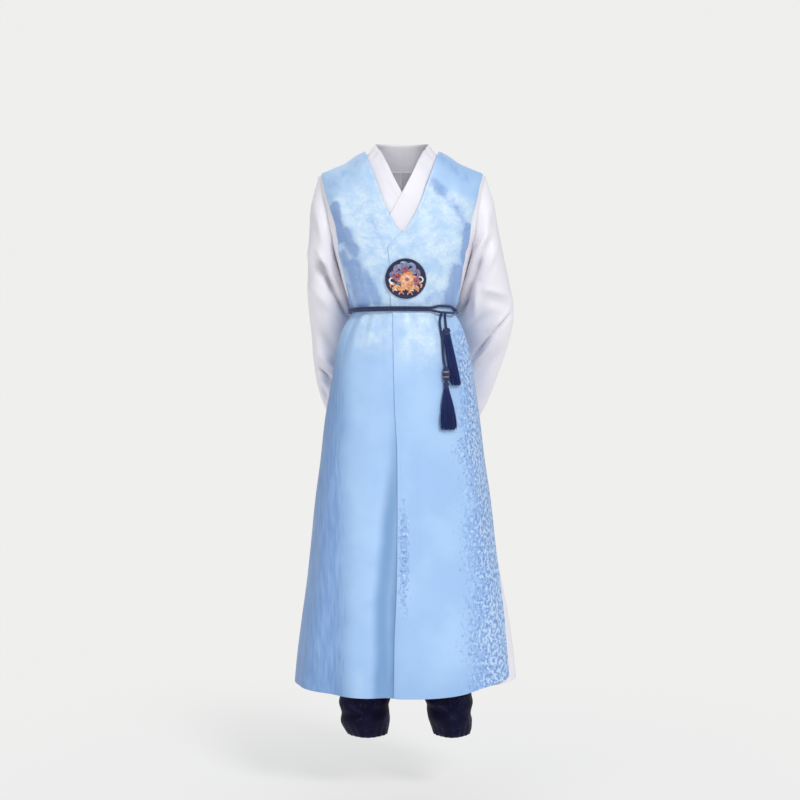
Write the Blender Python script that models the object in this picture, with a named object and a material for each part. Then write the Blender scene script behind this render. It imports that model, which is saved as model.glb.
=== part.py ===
"""A man's Korean hanbok, as worn: sleeveless coat, crossed robe, cord belt and trousers.

Metres, +Z up. The front faces -Y and +X is the wearer's left. The origin is where the wearer
holds the clothes up: on the body's centre line, level with the tops of the shoulders.

All the cloth follows one form, the inner face of the robe. A point on it has a turn, the angle
round the body from the centre front (plus to the wearer's left), and a level, its height on the
centre line. Each piece is that form moved out along its own normal.
"""

import math

import bpy
from mathutils import Vector

MM = 0.001

# Cloth and the gaps between pieces
SEAM_GAP = 0.3 * MM
LAYER_GAP = 1.15 * MM
ROBE_CLOTH = 1.2 * MM
COAT_CLOTH = 1.5 * MM
COLLAR_CLOTH = 1.5 * MM
TROUSER_CLOTH = 1.5 * MM

# Heights from the top of the shoulders
SHOULDER_SEAM = 0.029
CHEST = -0.250
BELT = -0.345
WAIST_SEAM = -0.353
COAT_HEM = -1.190
ROBE_HEM = -1.172
ARMPIT = -0.212
CROTCH = -0.500
ANKLE = -1.296

SHOULDER_SLOPE = 0.41
CROWN_ROUNDING = 0.030
SKIRT_EASE = 5.0 * MM
COAT_OVERLAP = 0.030
FRONT_EASE = 0.043

# The hems curve up towards the sides: by how much on each layer, and from which level
HEM_RISE = {"coat": {"right": 0.015, "left": 0.050}, "robe": {"right": 0.008, "left": 0.006}}
HEM_RISE_START = -0.900

# The form: half widths to the wearer's right and left, depths to the front and back, squareness
FORM = {
    "columns": ("level", "right", "left", "front", "back", "square"),
    "rows": (
        (0.029, 0.187, 0.187, 0.000, 0.000, 0.30),
        (0.0275, 0.187, 0.187, 0.022, 0.020, 0.32),
        (0.022, 0.187, 0.187, 0.041, 0.038, 0.35),
        (0.010, 0.186, 0.186, 0.058, 0.054, 0.38),
        (-0.012, 0.184, 0.184, 0.075, 0.069, 0.42),
        (-0.045, 0.181, 0.182, 0.089, 0.082, 0.46),
        (-0.090, 0.176, 0.177, 0.100, 0.092, 0.48),
        (-0.148, 0.164, 0.168, 0.108, 0.099, 0.46),
        (-0.205, 0.151, 0.155, 0.111, 0.100, 0.40),
        (-0.254, 0.139, 0.143, 0.108, 0.096, 0.32),
        (-0.295, 0.127, 0.132, 0.102, 0.091, 0.25),
        (-0.325, 0.1165, 0.1235, 0.098, 0.088, 0.20),
        (-0.338, 0.1090, 0.1160, 0.093, 0.083, 0.18),
        (-0.353, 0.1090, 0.1160, 0.093, 0.083, 0.18),
        (-0.370, 0.1200, 0.1260, 0.100, 0.091, 0.16),
        (-0.390, 0.1305, 0.1345, 0.104, 0.097, 0.14),
        (-0.432, 0.143, 0.147, 0.108, 0.106, 0.12),
        (-0.500, 0.153, 0.158, 0.112, 0.116, 0.10),
        (-0.590, 0.168, 0.170, 0.115, 0.123, 0.08),
        (-0.680, 0.177, 0.180, 0.118, 0.129, 0.08),
        (-0.770, 0.188, 0.193, 0.121, 0.134, 0.08),
        (-0.860, 0.196, 0.206, 0.124, 0.139, 0.08),
        (-0.950, 0.205, 0.223, 0.127, 0.144, 0.08),
        (-1.040, 0.217, 0.240, 0.130, 0.149, 0.08),
        (-1.130, 0.228, 0.252, 0.133, 0.154, 0.08),
        (-1.197, 0.234, 0.258, 0.135, 0.157, 0.08),
    ),
}

# Soft skirt folds: the turn of each, half its width, its height at the hem and where it starts
FOLDS = {
    "columns": ("turn", "half_width", "height", "start"),
    "rows": (
        (-9.0, 11.0, -0.013, -0.36),
        (-24.0, 12.0, 0.006, -0.40),
        (-42.0, 12.0, -0.007, -0.50),
        (-60.0, 13.0, 0.005, -0.42),
        (20.0, 17.0, 0.004, -0.45),
        (41.0, 12.0, -0.006, -0.52),
        (56.0, 11.0, 0.005, -0.48),
        (112.0, 13.0, -0.008, -0.50),
        (130.0, 13.0, 0.008, -0.42),
        (149.0, 12.0, -0.011, -0.38),
        (166.0, 12.0, 0.007, -0.44),
        (183.0, 11.0, -0.012, -0.37),
        (199.0, 12.0, 0.008, -0.40),
        (217.0, 13.0, -0.010, -0.46),
        (236.0, 13.0, 0.006, -0.43),
        (252.0, 10.0, -0.006, -0.55),
    ),
}

# Edges of the coat: the neckline, and the armhole on each side
NECKLINE = {
    "columns": ("level", "across"),
    "rows": (
        (0.029, 0.079),
        (-0.018, 0.0665),
        (-0.051, 0.0570),
        (-0.110, 0.0390),
        (-0.144, 0.0240),
        (-0.168, 0.0110),
        (-0.179, 0.0000),
        (-0.209, -0.0305),
    ),
}
V_POINT = -0.179
LAP_START = -0.209
BACK_NECK_DROP = 0.046
ROBE_NECK_INSET = 0.010
COAT_ARMHOLE = {
    "columns": ("level", "right", "left"),
    "rows": (
        (0.029, 0.1785, 0.1795),
        (-0.022, 0.1690, 0.1685),
        (-0.080, 0.1595, 0.1605),
        (-0.148, 0.1465, 0.1500),
        (-0.202, 0.1390, 0.1410),
        (-0.254, 0.1285, 0.1310),
        (-0.295, 0.1195, 0.1260),
        (-0.310, 0.1165, 0.1235),
        (-0.325, 0.1158, 0.1227),
    ),
}
ARMHOLE_FOOT = -0.338

# The left front's free edge, and the turn where each side of the coat ends below its slit
LEFT_FRONT_EDGE = {
    "columns": ("level", "across"),
    "rows": (
        (-0.209, -0.0305),
        (-0.242, -0.0262),
        (-0.320, -0.0240),
        (-0.366, -0.0195),
        (-0.470, -0.0175),
        (-0.556, -0.0150),
        (-0.670, -0.0087),
        (-0.841, -0.0072),
        (-0.955, -0.0078),
        (-1.067, -0.0117),
        (-1.197, -0.0130),
    ),
}
SLIT = {
    "columns": ("level", "right", "left"),
    "rows": (
        (-0.338, 89.9, 89.9),
        (-0.700, 89.9, 89.9),
        (-0.770, 89.0, 84.0),
        (-0.860, 87.5, 76.5),
        (-0.950, 86.5, 71.0),
        (-1.040, 86.0, 67.5),
        (-1.130, 85.5, 64.5),
        (-1.197, 85.0, 63.5),
    ),
}

# Rows of the panels
COAT_LEVELS = (
    0.029, 0.0245, 0.013, -0.009, -0.040, -0.080, -0.120, -0.155, -0.179, -0.209, -0.254, -0.285,
    -0.308, -0.325, -0.338, -0.353, -0.370, -0.390, -0.420, -0.490, -0.580, -0.680, -0.780, -0.880,
    -0.980, -1.080, COAT_HEM,
)
ROBE_SKIRT_LEVELS = (
    -0.254, -0.285, -0.308, -0.325, -0.338, -0.353, -0.370, -0.390, -0.420, -0.490, -0.630, -0.800,
    -0.980, ROBE_HEM,
)
COAT_FRONT_COLUMNS = 11
LAP_COLUMNS = 2
# Columns of half a back: from its side to the neck, and from there to the centre back seam
COAT_BACK_COLUMNS = (7, 4)
# A robe front's columns stand where its folds do: turns from the centre front to the side
ROBE_FRONT_TURNS = {
    "right": (9.0, 24.0, 42.0, 60.0, 75.0, 90.0),
    "left": (12.0, 27.0, 42.0, 57.0, 73.0, 90.0),
}
ROBE_BACK_COLUMNS = (5, 3)
ROBE_BACK_SEAM = -0.800

# The robe's armhole is an oval on the form; a sleeve has this many columns round it
ARMHOLE_STEPS = 10
ARMHOLE_TURN = 17.0

# Sleeves: the outer and inner end of each section as seen from the front, its place fore and aft
# and half its depth; across is counted outwards from the centre line
RIGHT_SLEEVE = {
    "columns": ("outer", "outer_level", "inner", "inner_level", "back", "half_depth"),
    "rows": (
        (0.2060, -0.112, 0.1540, -0.226, 0.006, 0.054),
        (0.2095, -0.160, 0.1490, -0.243, 0.015, 0.060),
        (0.2120, -0.212, 0.1410, -0.262, 0.028, 0.063),
        (0.2140, -0.262, 0.1310, -0.286, 0.043, 0.063),
        (0.2155, -0.306, 0.1220, -0.312, 0.060, 0.062),
        (0.2130, -0.350, 0.1180, -0.340, 0.078, 0.060),
        (0.2085, -0.400, 0.1190, -0.368, 0.098, 0.055),
        (0.2050, -0.458, 0.1180, -0.394, 0.122, 0.050),
        (0.1930, -0.528, 0.1060, -0.412, 0.146, 0.044),
        (0.1640, -0.592, 0.0850, -0.424, 0.163, 0.039),
        (0.1240, -0.625, 0.0600, -0.430, 0.171, 0.035),
        (0.0780, -0.634, 0.0350, -0.434, 0.173, 0.032),
    ),
}
LEFT_SLEEVE = {
    "columns": RIGHT_SLEEVE["columns"],
    "rows": (
        (0.2080, -0.106, 0.1580, -0.226, 0.006, 0.054),
        (0.2180, -0.162, 0.1540, -0.243, 0.013, 0.061),
        (0.2295, -0.216, 0.1460, -0.266, 0.024, 0.065),
        (0.2420, -0.270, 0.1360, -0.294, 0.038, 0.066),
        (0.2540, -0.322, 0.1290, -0.322, 0.054, 0.065),
        (0.2550, -0.366, 0.1270, -0.350, 0.074, 0.062),
        (0.2450, -0.420, 0.1300, -0.380, 0.098, 0.057),
        (0.2260, -0.478, 0.1260, -0.404, 0.124, 0.051),
        (0.2020, -0.545, 0.1100, -0.420, 0.147, 0.045),
        (0.1680, -0.604, 0.0880, -0.430, 0.163, 0.040),
        (0.1260, -0.634, 0.0620, -0.436, 0.171, 0.036),
        (0.0800, -0.640, 0.0380, -0.440, 0.173, 0.032),
    ),
}

# The sleeve is pieced here, at the elbow
ELBOW_RING = 6

# Half of the collar band, from the centre back to its front end: its upper edge round the neck,
# with the angle of the lower edge round the back neckline, then both edges down the chest
COLLAR_NECK = {
    "columns": ("angle", "top_x", "top_y", "top_z"),
    "rows": (
        (0.0, 0.000, 0.0600, 0.038),
        (22.5, 0.026, 0.0550, 0.0375),
        (45.0, 0.046, 0.0400, 0.036),
        (67.5, 0.0570, 0.0190, 0.033),
        (89.0, 0.0590, -0.0030, 0.028),
    ),
}
COLLAR_UNDER_COAT = 0.008
COLLAR_BEND = -0.002
COLLAR_ROOM = 4.0 * MM
NAPE_EASE = 1.2 * MM
NAPE_LIFT = 4.4 * MM
COLLAR_SHOULDER = {
    "columns": ("low_x", "low_z", "bend_x", "bend_z", "top_x", "top_y", "top_z"),
    "rows": (
        (0.0840, -0.011, 0.0760, -0.007, 0.0560, -0.0180, 0.021),
        (0.0795, -0.027, 0.0700, -0.021, 0.0515, -0.0330, 0.012),
    ),
}
COLLAR_FRONT = {
    "columns": ("low_x", "low_z", "top_x", "top_z"),
    "rows": (
        (0.0730, -0.042, 0.0460, 0.004),
        (0.0645, -0.070, 0.0340, -0.022),
        (0.0530, -0.100, 0.0210, -0.052),
        (0.0395, -0.130, 0.0060, -0.082),
        (0.0240, -0.160, -0.0090, -0.110),
        (0.0080, -0.187, -0.0240, -0.138),
        (-0.0100, -0.211, -0.0390, -0.163),
    ),
}
COLLAR_ACROSS = 3
NECK_STEPS = 2

# Badge
BADGE_X = 0.0075
BADGE_Z = -0.279
BADGE_RADIUS = 0.0430
BADGE_CLOTH = 2.0 * MM
BADGE_RIM = 3.5 * MM
BADGE_RIM_HEIGHT = 1.5 * MM
BADGE_SIDES = 24

# Belt and tassels
CORD_RADIUS = 2.6 * MM
CORD_SIDES = 6
BELT_STEPS = 28
EYE_TURN = 52.0
EYE_HALF_TURN = 23.0
EYE_FLAT = 0.35
EYE_OPENING = 4.5 * MM
SHORT_CORD = ((0.0900, -0.3525), (0.0905, -0.365), (0.0912, -0.377), (0.0919, -0.3885))
LONG_CORD = (
    (0.0825, -0.3525), (0.0820, -0.372), (0.0822, -0.392), (0.0832, -0.412), (0.0848, -0.432),
    (0.0868, -0.452), (0.0889, -0.4735),
)
CORD_POINT_SPACING = 2.2

TASSELS = {
    "columns": ("top_x", "top_z", "end_x", "end_z", "head_length", "head_radius", "end_half_width",
                "end_half_depth"),
    "rows": {
        "tassel_short": (0.0920, -0.3888, 0.1120, -0.516, 0.015, 0.0056, 0.0100, 0.0062),
        "tassel_long": (0.0910, -0.5060, 0.0965, -0.613, 0.014, 0.0058, 0.0180, 0.0075),
    },
}
# Profiles from top to bottom: the part of the length and the part of the full radius
TASSEL_HEAD = (
    (0.0, 0.45), (0.10, 0.80), (0.32, 1.0), (0.58, 0.94), (0.70, 0.74), (0.84, 0.82), (1.0, 0.98),
)
KNOT_BARREL = (
    (0.0, 0.42), (0.10, 0.72), (0.22, 0.96), (0.33, 0.80), (0.44, 1.0), (0.56, 1.0),
    (0.67, 0.80), (0.78, 0.96), (0.90, 0.72), (1.0, 0.42),
)
KNOT_SIDES = 16
KNOT_TOP = -0.4738
KNOT_END = -0.5057
KNOT_X = (0.0890, 0.0908)
KNOT_RADIUS = 7.6 * MM
STRAND_SLOTS = 12

# Trousers
WAISTBAND_LEVELS = (-0.331, -0.338, -0.353, -0.356)
HIP_LEVELS = (-0.3563, -0.370, -0.450, CROTCH)
HIP_INSET = 0.012
WAIST_GAP = 1.2 * MM
LEG = {
    "columns": ("level", "right_x", "left_x", "back", "right_half", "left_half", "half_depth", "round"),
    "rows": (
        (-0.5003, 0.0, 0.0, 0.002, 0.0, 0.0, 0.0, 0.0),
        (-0.540, -0.0720, 0.0740, 0.002, 0.068, 0.068, 0.094, 0.7),
        (-0.620, -0.0745, 0.0780, 0.002, 0.068, 0.068, 0.087, 1.0),
        (-0.830, -0.0785, 0.0880, 0.005, 0.064, 0.064, 0.077, 1.0),
        (-1.030, -0.0820, 0.0970, 0.008, 0.060, 0.059, 0.069, 1.0),
        (-1.235, -0.0835, 0.1055, 0.008, 0.055, 0.051, 0.060, 1.0),
        (-1.268, -0.0825, 0.1095, 0.008, 0.053, 0.046, 0.058, 1.0),
        (-1.285, -0.0800, 0.1120, 0.008, 0.047, 0.042, 0.052, 1.0),
        (ANKLE, -0.0775, 0.1120, 0.008, 0.042, 0.038, 0.046, 1.0),
    ),
}
LEG_COLUMNS = 16
KNEE_RING = 3
HIP_COLUMNS = 24
GATHERS = 4
GATHER_HEIGHT = 2.0 * MM
GATHER_START = -1.235

COLOURS = {
    "coat": ((0.36, 0.58, 0.84), 0.38),
    "robe": ((0.86, 0.87, 0.90), 0.55),
    "navy": ((0.016, 0.026, 0.085), 0.60),
    "badge": ((0.022, 0.024, 0.060), 0.50),
    "trousers": ((0.014, 0.018, 0.050), 0.62),
}


def smooth(amount):
    """0 to 1 with level ends."""
    amount = min(1.0, max(0.0, amount))
    return amount * amount * (3.0 - 2.0 * amount)


def slopes(heights, values):
    """Slope at each row, level at a turning point, so that a curve never overshoots its rows."""
    steps = [(values[i + 1] - values[i]) / (heights[i + 1] - heights[i]) for i in range(len(values) - 1)]
    inner = [
        0.0 if before * after <= 0.0 else 2.0 * before * after / (before + after)
        for before, after in zip(steps, steps[1:])
    ]
    return [steps[0], *inner, steps[-1]]


def read(table, column, level):
    """Smooth value of a column at a level; past either end it keeps the end row's value."""
    cache = table.setdefault("cache", {})
    if column not in cache:
        at = table["columns"].index(column)
        heights = [row[0] for row in table["rows"]]
        values = [row[at] for row in table["rows"]]
        cache[column] = (heights, values, slopes(heights, values))
    heights, values, slope = cache[column]
    if level >= heights[0]:
        return values[0]
    if level <= heights[-1]:
        return values[-1]
    low = next(i for i in range(len(heights) - 1) if heights[i + 1] <= level)
    span = heights[low + 1] - heights[low]
    part = (level - heights[low]) / span
    near, far = 1.0 - part, part
    return (
        values[low] * near * near * (1.0 + 2.0 * far)
        + values[low + 1] * far * far * (1.0 + 2.0 * near)
        + span * far * near * (slope[low] * near - slope[low + 1] * far)
    )


def fold_height(turn, level):
    """How far the skirt's folds stand out at a point."""
    height = 0.0
    for fold_turn, half_width, full, start in FOLDS["rows"]:
        away = abs((turn - fold_turn + 180.0) % 360.0 - 180.0) / half_width
        if away < 1.0 and level < start:
            growth = smooth((start - level) / (start - COAT_HEM) * 0.9)
            height += full * growth * 0.5 * (1.0 + math.cos(math.pi * away))
    return height


def form(turn, level, folded=True):
    """Point on the inner face of the robe."""
    across, along = math.sin(math.radians(turn)), math.cos(math.radians(turn))
    half_width = read(FORM, "left" if across > 0.0 else "right", level)
    depth = read(FORM, "front" if along > 0.0 else "back", level)
    square = read(FORM, "square", level)
    x = half_width * across
    y = -depth * along * (1.0 + square * across * across)
    if folded:
        out = 1.0 + fold_height(turn, level) / max(math.hypot(x, y), 0.05)
        x, y = x * out, y * out
    slope = SHOULDER_SLOPE * min(1.0, max(0.0, (level - CHEST) / (SHOULDER_SEAM - CHEST)))
    fall = slope * (math.hypot(x, CROWN_ROUNDING) - CROWN_ROUNDING * 0.5)
    return Vector((x, y, level - fall))


def form_normal(turn, level, folded=True):
    """Outward normal of the form; along the shoulder seam it points straight up the slope."""
    if level >= SHOULDER_SEAM - 1e-6:
        side = math.copysign(SHOULDER_SLOPE, math.sin(math.radians(turn)))
        return Vector((side, 0.0, 1.0)).normalized()
    step = 0.4
    drop = 0.0015
    round_body = form(turn + step, level, folded) - form(turn - step, level, folded)
    up = form(turn, min(level + drop, SHOULDER_SEAM), folded) - form(turn, level - drop, folded)
    return round_body.cross(up).normalized()


def turn_at(x, level):
    """Turn of the front point that lies x from the centre line."""
    half_width = read(FORM, "left" if x > 0.0 else "right", level)
    return math.degrees(math.asin(max(-1.0, min(1.0, x / half_width))))


def on_front(x, z, out):
    """Point in front of the form at x and z, moved out along the normal."""
    level = z
    for _ in range(12):
        level += z - form(turn_at(x, level), level).z
    turn = turn_at(x, level)
    return form(turn, level) + form_normal(turn, level) * out


def over_lift(x):
    """Extra height of the coat's left front where it lies over the right one."""
    return (COAT_CLOTH + LAYER_GAP) * (1.0 - smooth((x - COAT_OVERLAP - 0.012) / 0.05))


def coat_offset(side, turn, level):
    """Inner face of the coat, out from the form: it clears the robe, the collar and the overlap."""
    x = form(turn, level).x
    front = math.cos(math.radians(turn)) > 0.0
    out = ROBE_CLOTH + LAYER_GAP
    out += SKIRT_EASE * smooth((BELT - 0.01 - level) / 0.75)
    edge = max(0.0, read(NECKLINE, "across", level))
    near_collar = 1.0 - smooth((abs(x) - edge - 0.010) / 0.045)
    above_belt = smooth((level - BELT - 0.01) / 0.09)
    if front:
        crossing = 1.0 - smooth((abs(x) - 0.050) / 0.050)
        out += COLLAR_ROOM * max(near_collar, crossing) * above_belt
        out += COLLAR_ROOM * 0.5 * crossing * above_belt * smooth((-0.03 - level) / 0.03)
        out += NAPE_LIFT * near_collar * smooth((level + 0.10) / 0.05)
    else:
        out += (COLLAR_ROOM + NAPE_LIFT) * near_collar * smooth((level + 0.10) / 0.05)
    if front and side == "left":
        out += over_lift(x)
    return out


def coat_face(turn, level):
    """Outer face of the coat, with the left front on top, out from the form."""
    return coat_offset("left", turn, level) + COAT_CLOTH


def material(name):
    colour, roughness = COLOURS[name]
    made = bpy.data.materials.get(name)
    if made is None:
        made = bpy.data.materials.new(name)
        made.use_nodes = True
        shader = made.node_tree.nodes["Principled BSDF"]
        shader.inputs["Base Color"].default_value = (*colour, 1.0)
        shader.inputs["Roughness"].default_value = roughness
        shader.inputs["Metallic"].default_value = 0.0
        made.diffuse_color = (*colour, 1.0)
    return made


def add_mesh(name, points, faces, finish):
    mesh = bpy.data.meshes.new(name)
    mesh.from_pydata([tuple(point) for point in points], [], faces)
    mesh.validate()
    mesh.materials.append(material(finish))
    piece = bpy.data.objects.new(name, mesh)
    bpy.context.scene.collection.objects.link(piece)
    return piece


def wall(name, outer, inner, finish, closed=False):
    """Closed wall between two grids of rows, rows downwards and columns to the wearer's left."""
    rows, columns = len(outer), len(outer[0])
    points = [point for row in outer for point in row] + [point for row in inner for point in row]
    skin = rows * columns
    faces = []
    last = columns if closed else columns - 1
    for i in range(rows - 1):
        for j in range(last):
            k = (j + 1) % columns
            a, b, c, d = i * columns + j, (i + 1) * columns + j, (i + 1) * columns + k, i * columns + k
            faces.append((a, b, c, d))
            faces.append((a + skin, d + skin, c + skin, b + skin))
    for j in range(last):
        k = (j + 1) % columns
        foot = (rows - 1) * columns
        faces.append((j, k, k + skin, j + skin))
        faces.append((foot + k, foot + j, foot + j + skin, foot + k + skin))
    if not closed:
        for i in range(rows - 1):
            a, b = i * columns, (i + 1) * columns
            faces.append((a, a + skin, b + skin, b))
            a, b = a + columns - 1, b + columns - 1
            faces.append((a, b, b + skin, a + skin))
    return add_mesh(name, points, faces, finish)


def panel(
    name, levels, stretches, offset, cloth, finish, top, seam_side,
    pieces=("top", "skirt"), seams=(WAIST_SEAM,),
):
    """A coat or robe panel in pieces that meet at level seams, the first of them under the belt.

    stretches gives, at a level, turns and the columns between each two; top gives the level to
    which the cut of the neck and the hem moves a point.
    """
    part, side = name.rsplit("_", 1)
    ends = [math.inf, *seams, -math.inf]
    for piece, high, low in zip(pieces, ends, ends[1:]):
        rows = [level for level in levels if low + 1e-6 < level < high - 1e-6]
        if high < math.inf:
            rows.insert(0, high - SEAM_GAP / 2.0)
        if low > -math.inf:
            rows.append(low + SEAM_GAP / 2.0)
        panel_piece(f"{part}_{piece}_{side}", rows, stretches, offset, cloth, finish, top, seam_side)


def panel_piece(name, levels, stretches, offset, cloth, finish, top, seam_side):
    """One piece of a panel: a wall between two grids, a row for each level."""
    outer, inner = [], []
    for level in levels:
        start, *others = stretches(level)
        turns = [start]
        for columns, end in others:
            turns += [start + (end - start) * (j + 1) / columns for j in range(columns)]
            start = end
        outer_row, inner_row = [], []
        for turn in turns:
            at = top(turn, level)
            normal = form_normal(turn, at)
            base = form(turn, at) + normal * offset(turn, at)
            if level >= SHOULDER_SEAM - 1e-6 and at >= SHOULDER_SEAM - 1e-6:
                base.y += seam_side * SEAM_GAP / 2.0
            inner_row.append(base)
            outer_row.append(base + normal * cloth)
        outer.append(outer_row)
        inner.append(inner_row)
    return wall(name, outer, inner, finish)


def hem_cut(layer, turn, level):
    """Level of a panel's point, raised where the hem is cut to curve up towards the side."""
    across = math.sin(math.radians(turn))
    rise = HEM_RISE[layer]["left" if across > 0.0 else "right"]
    return level + rise * abs(across)**3 * smooth((level - HEM_RISE_START) / (COAT_HEM - HEM_RISE_START))


def coat_side(side, level):
    """Turn, as a plus number, where the coat's front ends at the armhole, side seam or slit."""
    if level < ARMHOLE_FOOT + 1e-6:
        return read(SLIT, side, level)
    edge = turn_at(read(COAT_ARMHOLE, side, level) * (1 if side == "left" else -1), level)
    return abs(edge)


def robe_side(level):
    """Turn, as a plus number, where the robe's front ends at the armhole or side seam."""
    middle, half = (SHOULDER_SEAM + ARMPIT) / 2.0, (SHOULDER_SEAM - ARMPIT) / 2.0
    away = (level - middle) / half
    if away <= -1.0:
        return 89.9
    return 89.9 - ARMHOLE_TURN * math.sqrt(max(0.0, 1.0 - away * away))


def coat_front(side):
    def near_edges(level):
        """Across, where this front ends near the centre and where its lap begins."""
        neck = read(NECKLINE, "across", level)
        if level > V_POINT + 1e-6:
            return neck, neck + FRONT_EASE
        if level > LAP_START + 1e-6:
            part = (V_POINT - level) / (V_POINT - LAP_START)
            return neck, FRONT_EASE + (COAT_OVERLAP - FRONT_EASE) * part
        return read(LEFT_FRONT_EDGE, "across", level), COAT_OVERLAP

    def left(level):
        near, far = near_edges(level)
        side_turn = coat_side("left", level)
        return turn_at(near, level), (LAP_COLUMNS, turn_at(far, level)), (COAT_FRONT_COLUMNS, side_turn)

    def right(level):
        near, far = near_edges(level)
        if level > V_POINT + 1e-6:
            far, near = -near, -far
        else:
            part = min(1.0, (V_POINT - level) / (V_POINT - LAP_START))
            near, far = near - FRONT_EASE * (1.0 - part), COAT_OVERLAP * part
        side_turn = -coat_side("right", level)
        return side_turn, (COAT_FRONT_COLUMNS, turn_at(near, level)), (LAP_COLUMNS, turn_at(far, level))

    panel(
        f"coat_front_{side}", COAT_LEVELS, left if side == "left" else right,
        lambda turn, level: coat_offset(side, turn, level), COAT_CLOTH, "coat",
        top=lambda turn, level: hem_cut("coat", turn, level), seam_side=-1.0,
    )


def back_neck(turn, level):
    """Level of a back panel's point, lowered where the neck opening takes its top edge down."""
    across = abs(form(turn, level, False).x) / NECKLINE["rows"][0][1]
    if across >= 1.0:
        return level
    cut = BACK_NECK_DROP * math.sqrt(1.0 - across * across)
    return level - cut * smooth((level + 0.10) / (SHOULDER_SEAM + 0.10))


def back_stretches(side, level, end, side_columns, neck_columns):
    """Turns across half a back: its side, and even steps round the neck to the centre back seam."""
    neck = NECKLINE["rows"][0][1]
    acrosses = [neck * math.sin(math.pi / 2.0 * i / neck_columns) for i in range(neck_columns, 0, -1)]
    steps = [turn_at(across, level) for across in (*acrosses, SEAM_GAP / 2.0)]
    if side == "left":
        return 180.0 - end, (side_columns, 180.0 - steps[0]), *((1, 180.0 - step) for step in steps[1:])
    steps.reverse()
    return 180.0 + steps[0], *((1, 180.0 + step) for step in steps[1:]), (side_columns, 180.0 + end)


def coat_back(side):
    panel(
        f"coat_back_{side}", COAT_LEVELS,
        lambda level: back_stretches(side, level, coat_side(side, level), *COAT_BACK_COLUMNS),
        lambda turn, level: coat_offset("back", turn, level), COAT_CLOTH, "coat",
        top=lambda turn, level: hem_cut("coat", turn, back_neck(turn, level)), seam_side=1.0,
    )


def armhole_levels():
    middle, half = (SHOULDER_SEAM + ARMPIT) / 2.0, (SHOULDER_SEAM - ARMPIT) / 2.0
    return [middle + half * math.cos(math.pi * i / ARMHOLE_STEPS) for i in range(ARMHOLE_STEPS + 1)]


def robe_front(side):
    def front(level):
        inset = ROBE_NECK_INSET * smooth((level - V_POINT) / 0.03)
        near = max(SEAM_GAP / 2.0, read(NECKLINE, "across", level) - inset)
        start, end = abs(turn_at(near if side == "left" else -near, level)), robe_side(level)
        turns = [start, *(start + (end - start) * turn / 90.0 for turn in ROBE_FRONT_TURNS[side])]
        if side == "right":
            turns = [-turn for turn in reversed(turns)]
        return turns[0], *((1, turn) for turn in turns[1:])

    panel(
        f"robe_front_{side}", [*armhole_levels(), *ROBE_SKIRT_LEVELS], front,
        lambda turn, level: 0.0, ROBE_CLOTH, "robe",
        top=lambda turn, level: hem_cut("robe", turn, level), seam_side=-1.0,
    )


def robe_back(side):
    panel(
        f"robe_back_{side}", [*armhole_levels(), *ROBE_SKIRT_LEVELS],
        lambda level: back_stretches(side, level, robe_side(level), *ROBE_BACK_COLUMNS),
        lambda turn, level: 0.0, ROBE_CLOTH, "robe",
        top=lambda turn, level: hem_cut("robe", turn, back_neck(turn, level)), seam_side=1.0,
        pieces=("top", "skirt_upper", "skirt_lower"), seams=(WAIST_SEAM, ROBE_BACK_SEAM),
    )


def ring_normals(rings):
    """Outward normals of a grid of closed rings."""
    rows, columns = len(rings), len(rings[0])
    found = []
    for i in range(rows):
        row = []
        for j in range(columns):
            around = rings[i][(j + 1) % columns] - rings[i][j - 1]
            down = rings[min(i + 1, rows - 1)][j] - rings[max(i - 1, 0)][j]
            row.append(down.cross(around).normalized())
        found.append(row)
    return found


def sleeve_root(sign):
    """The armhole's oval, a seam gap outside the robe: outer face and inner face."""
    outer, inner = [], []
    for i in range(2 * ARMHOLE_STEPS):
        step = i if i <= ARMHOLE_STEPS else 2 * ARMHOLE_STEPS - i
        level = armhole_levels()[step]
        turn = robe_side(level)
        if i > ARMHOLE_STEPS:
            turn = 180.0 - turn
        turn *= sign
        away = form(turn + 0.5 * math.copysign(1.0, (90.0 * sign - turn) or 1.0), level) - form(turn, level)
        if step in (0, ARMHOLE_STEPS):
            away = Vector((sign, 0.0, 0.0))
        away = away.normalized() * SEAM_GAP
        normal = form_normal(turn, level)
        if step == ARMHOLE_STEPS:
            foot = form(turn, level) + normal * (ROBE_CLOTH + 2.0 * SEAM_GAP)
            outer.append(foot)
            inner.append(foot + Vector((0.0, 0.0, ROBE_CLOTH)))
            continue
        outer.append(form(turn, level) + away + normal * ROBE_CLOTH)
        inner.append(form(turn, level) + away)
    return outer, inner


def sleeve(side):
    """A sleeve: rings from the armhole to the cuff, pieced at the elbow."""
    sign = 1.0 if side == "left" else -1.0
    table = LEFT_SLEEVE if side == "left" else RIGHT_SLEEVE
    root_outer, root_inner = sleeve_root(sign)
    rings = [root_outer]
    columns = 2 * ARMHOLE_STEPS
    for outer_x, outer_z, inner_x, inner_z, back, half_depth in table["rows"]:
        middle = Vector(((outer_x + inner_x) / 2.0 * sign, back, (outer_z + inner_z) / 2.0))
        half = Vector(((outer_x - inner_x) / 2.0 * sign, 0.0, (outer_z - inner_z) / 2.0))
        ring = []
        for j in range(columns):
            angle = 2.0 * math.pi * j / columns
            ring.append(middle + half * math.cos(angle) - Vector((0.0, half_depth, 0.0)) * math.sin(angle))
        rings.append(ring)
    normals = ring_normals(rings)
    flip = 1.0 if sign < 0.0 else -1.0
    inner = [
        [point - normal * flip * ROBE_CLOTH for point, normal in zip(ring, row)]
        for ring, row in zip(rings, normals)
    ]
    inner[0] = root_inner
    if sign > 0.0:
        rings = [[ring[0], *reversed(ring[1:])] for ring in rings]
        inner = [[ring[0], *reversed(ring[1:])] for ring in inner]
    pieced_tube(f"robe_sleeve_{{}}_{side}", rings, inner, ELBOW_RING, "robe")


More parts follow.
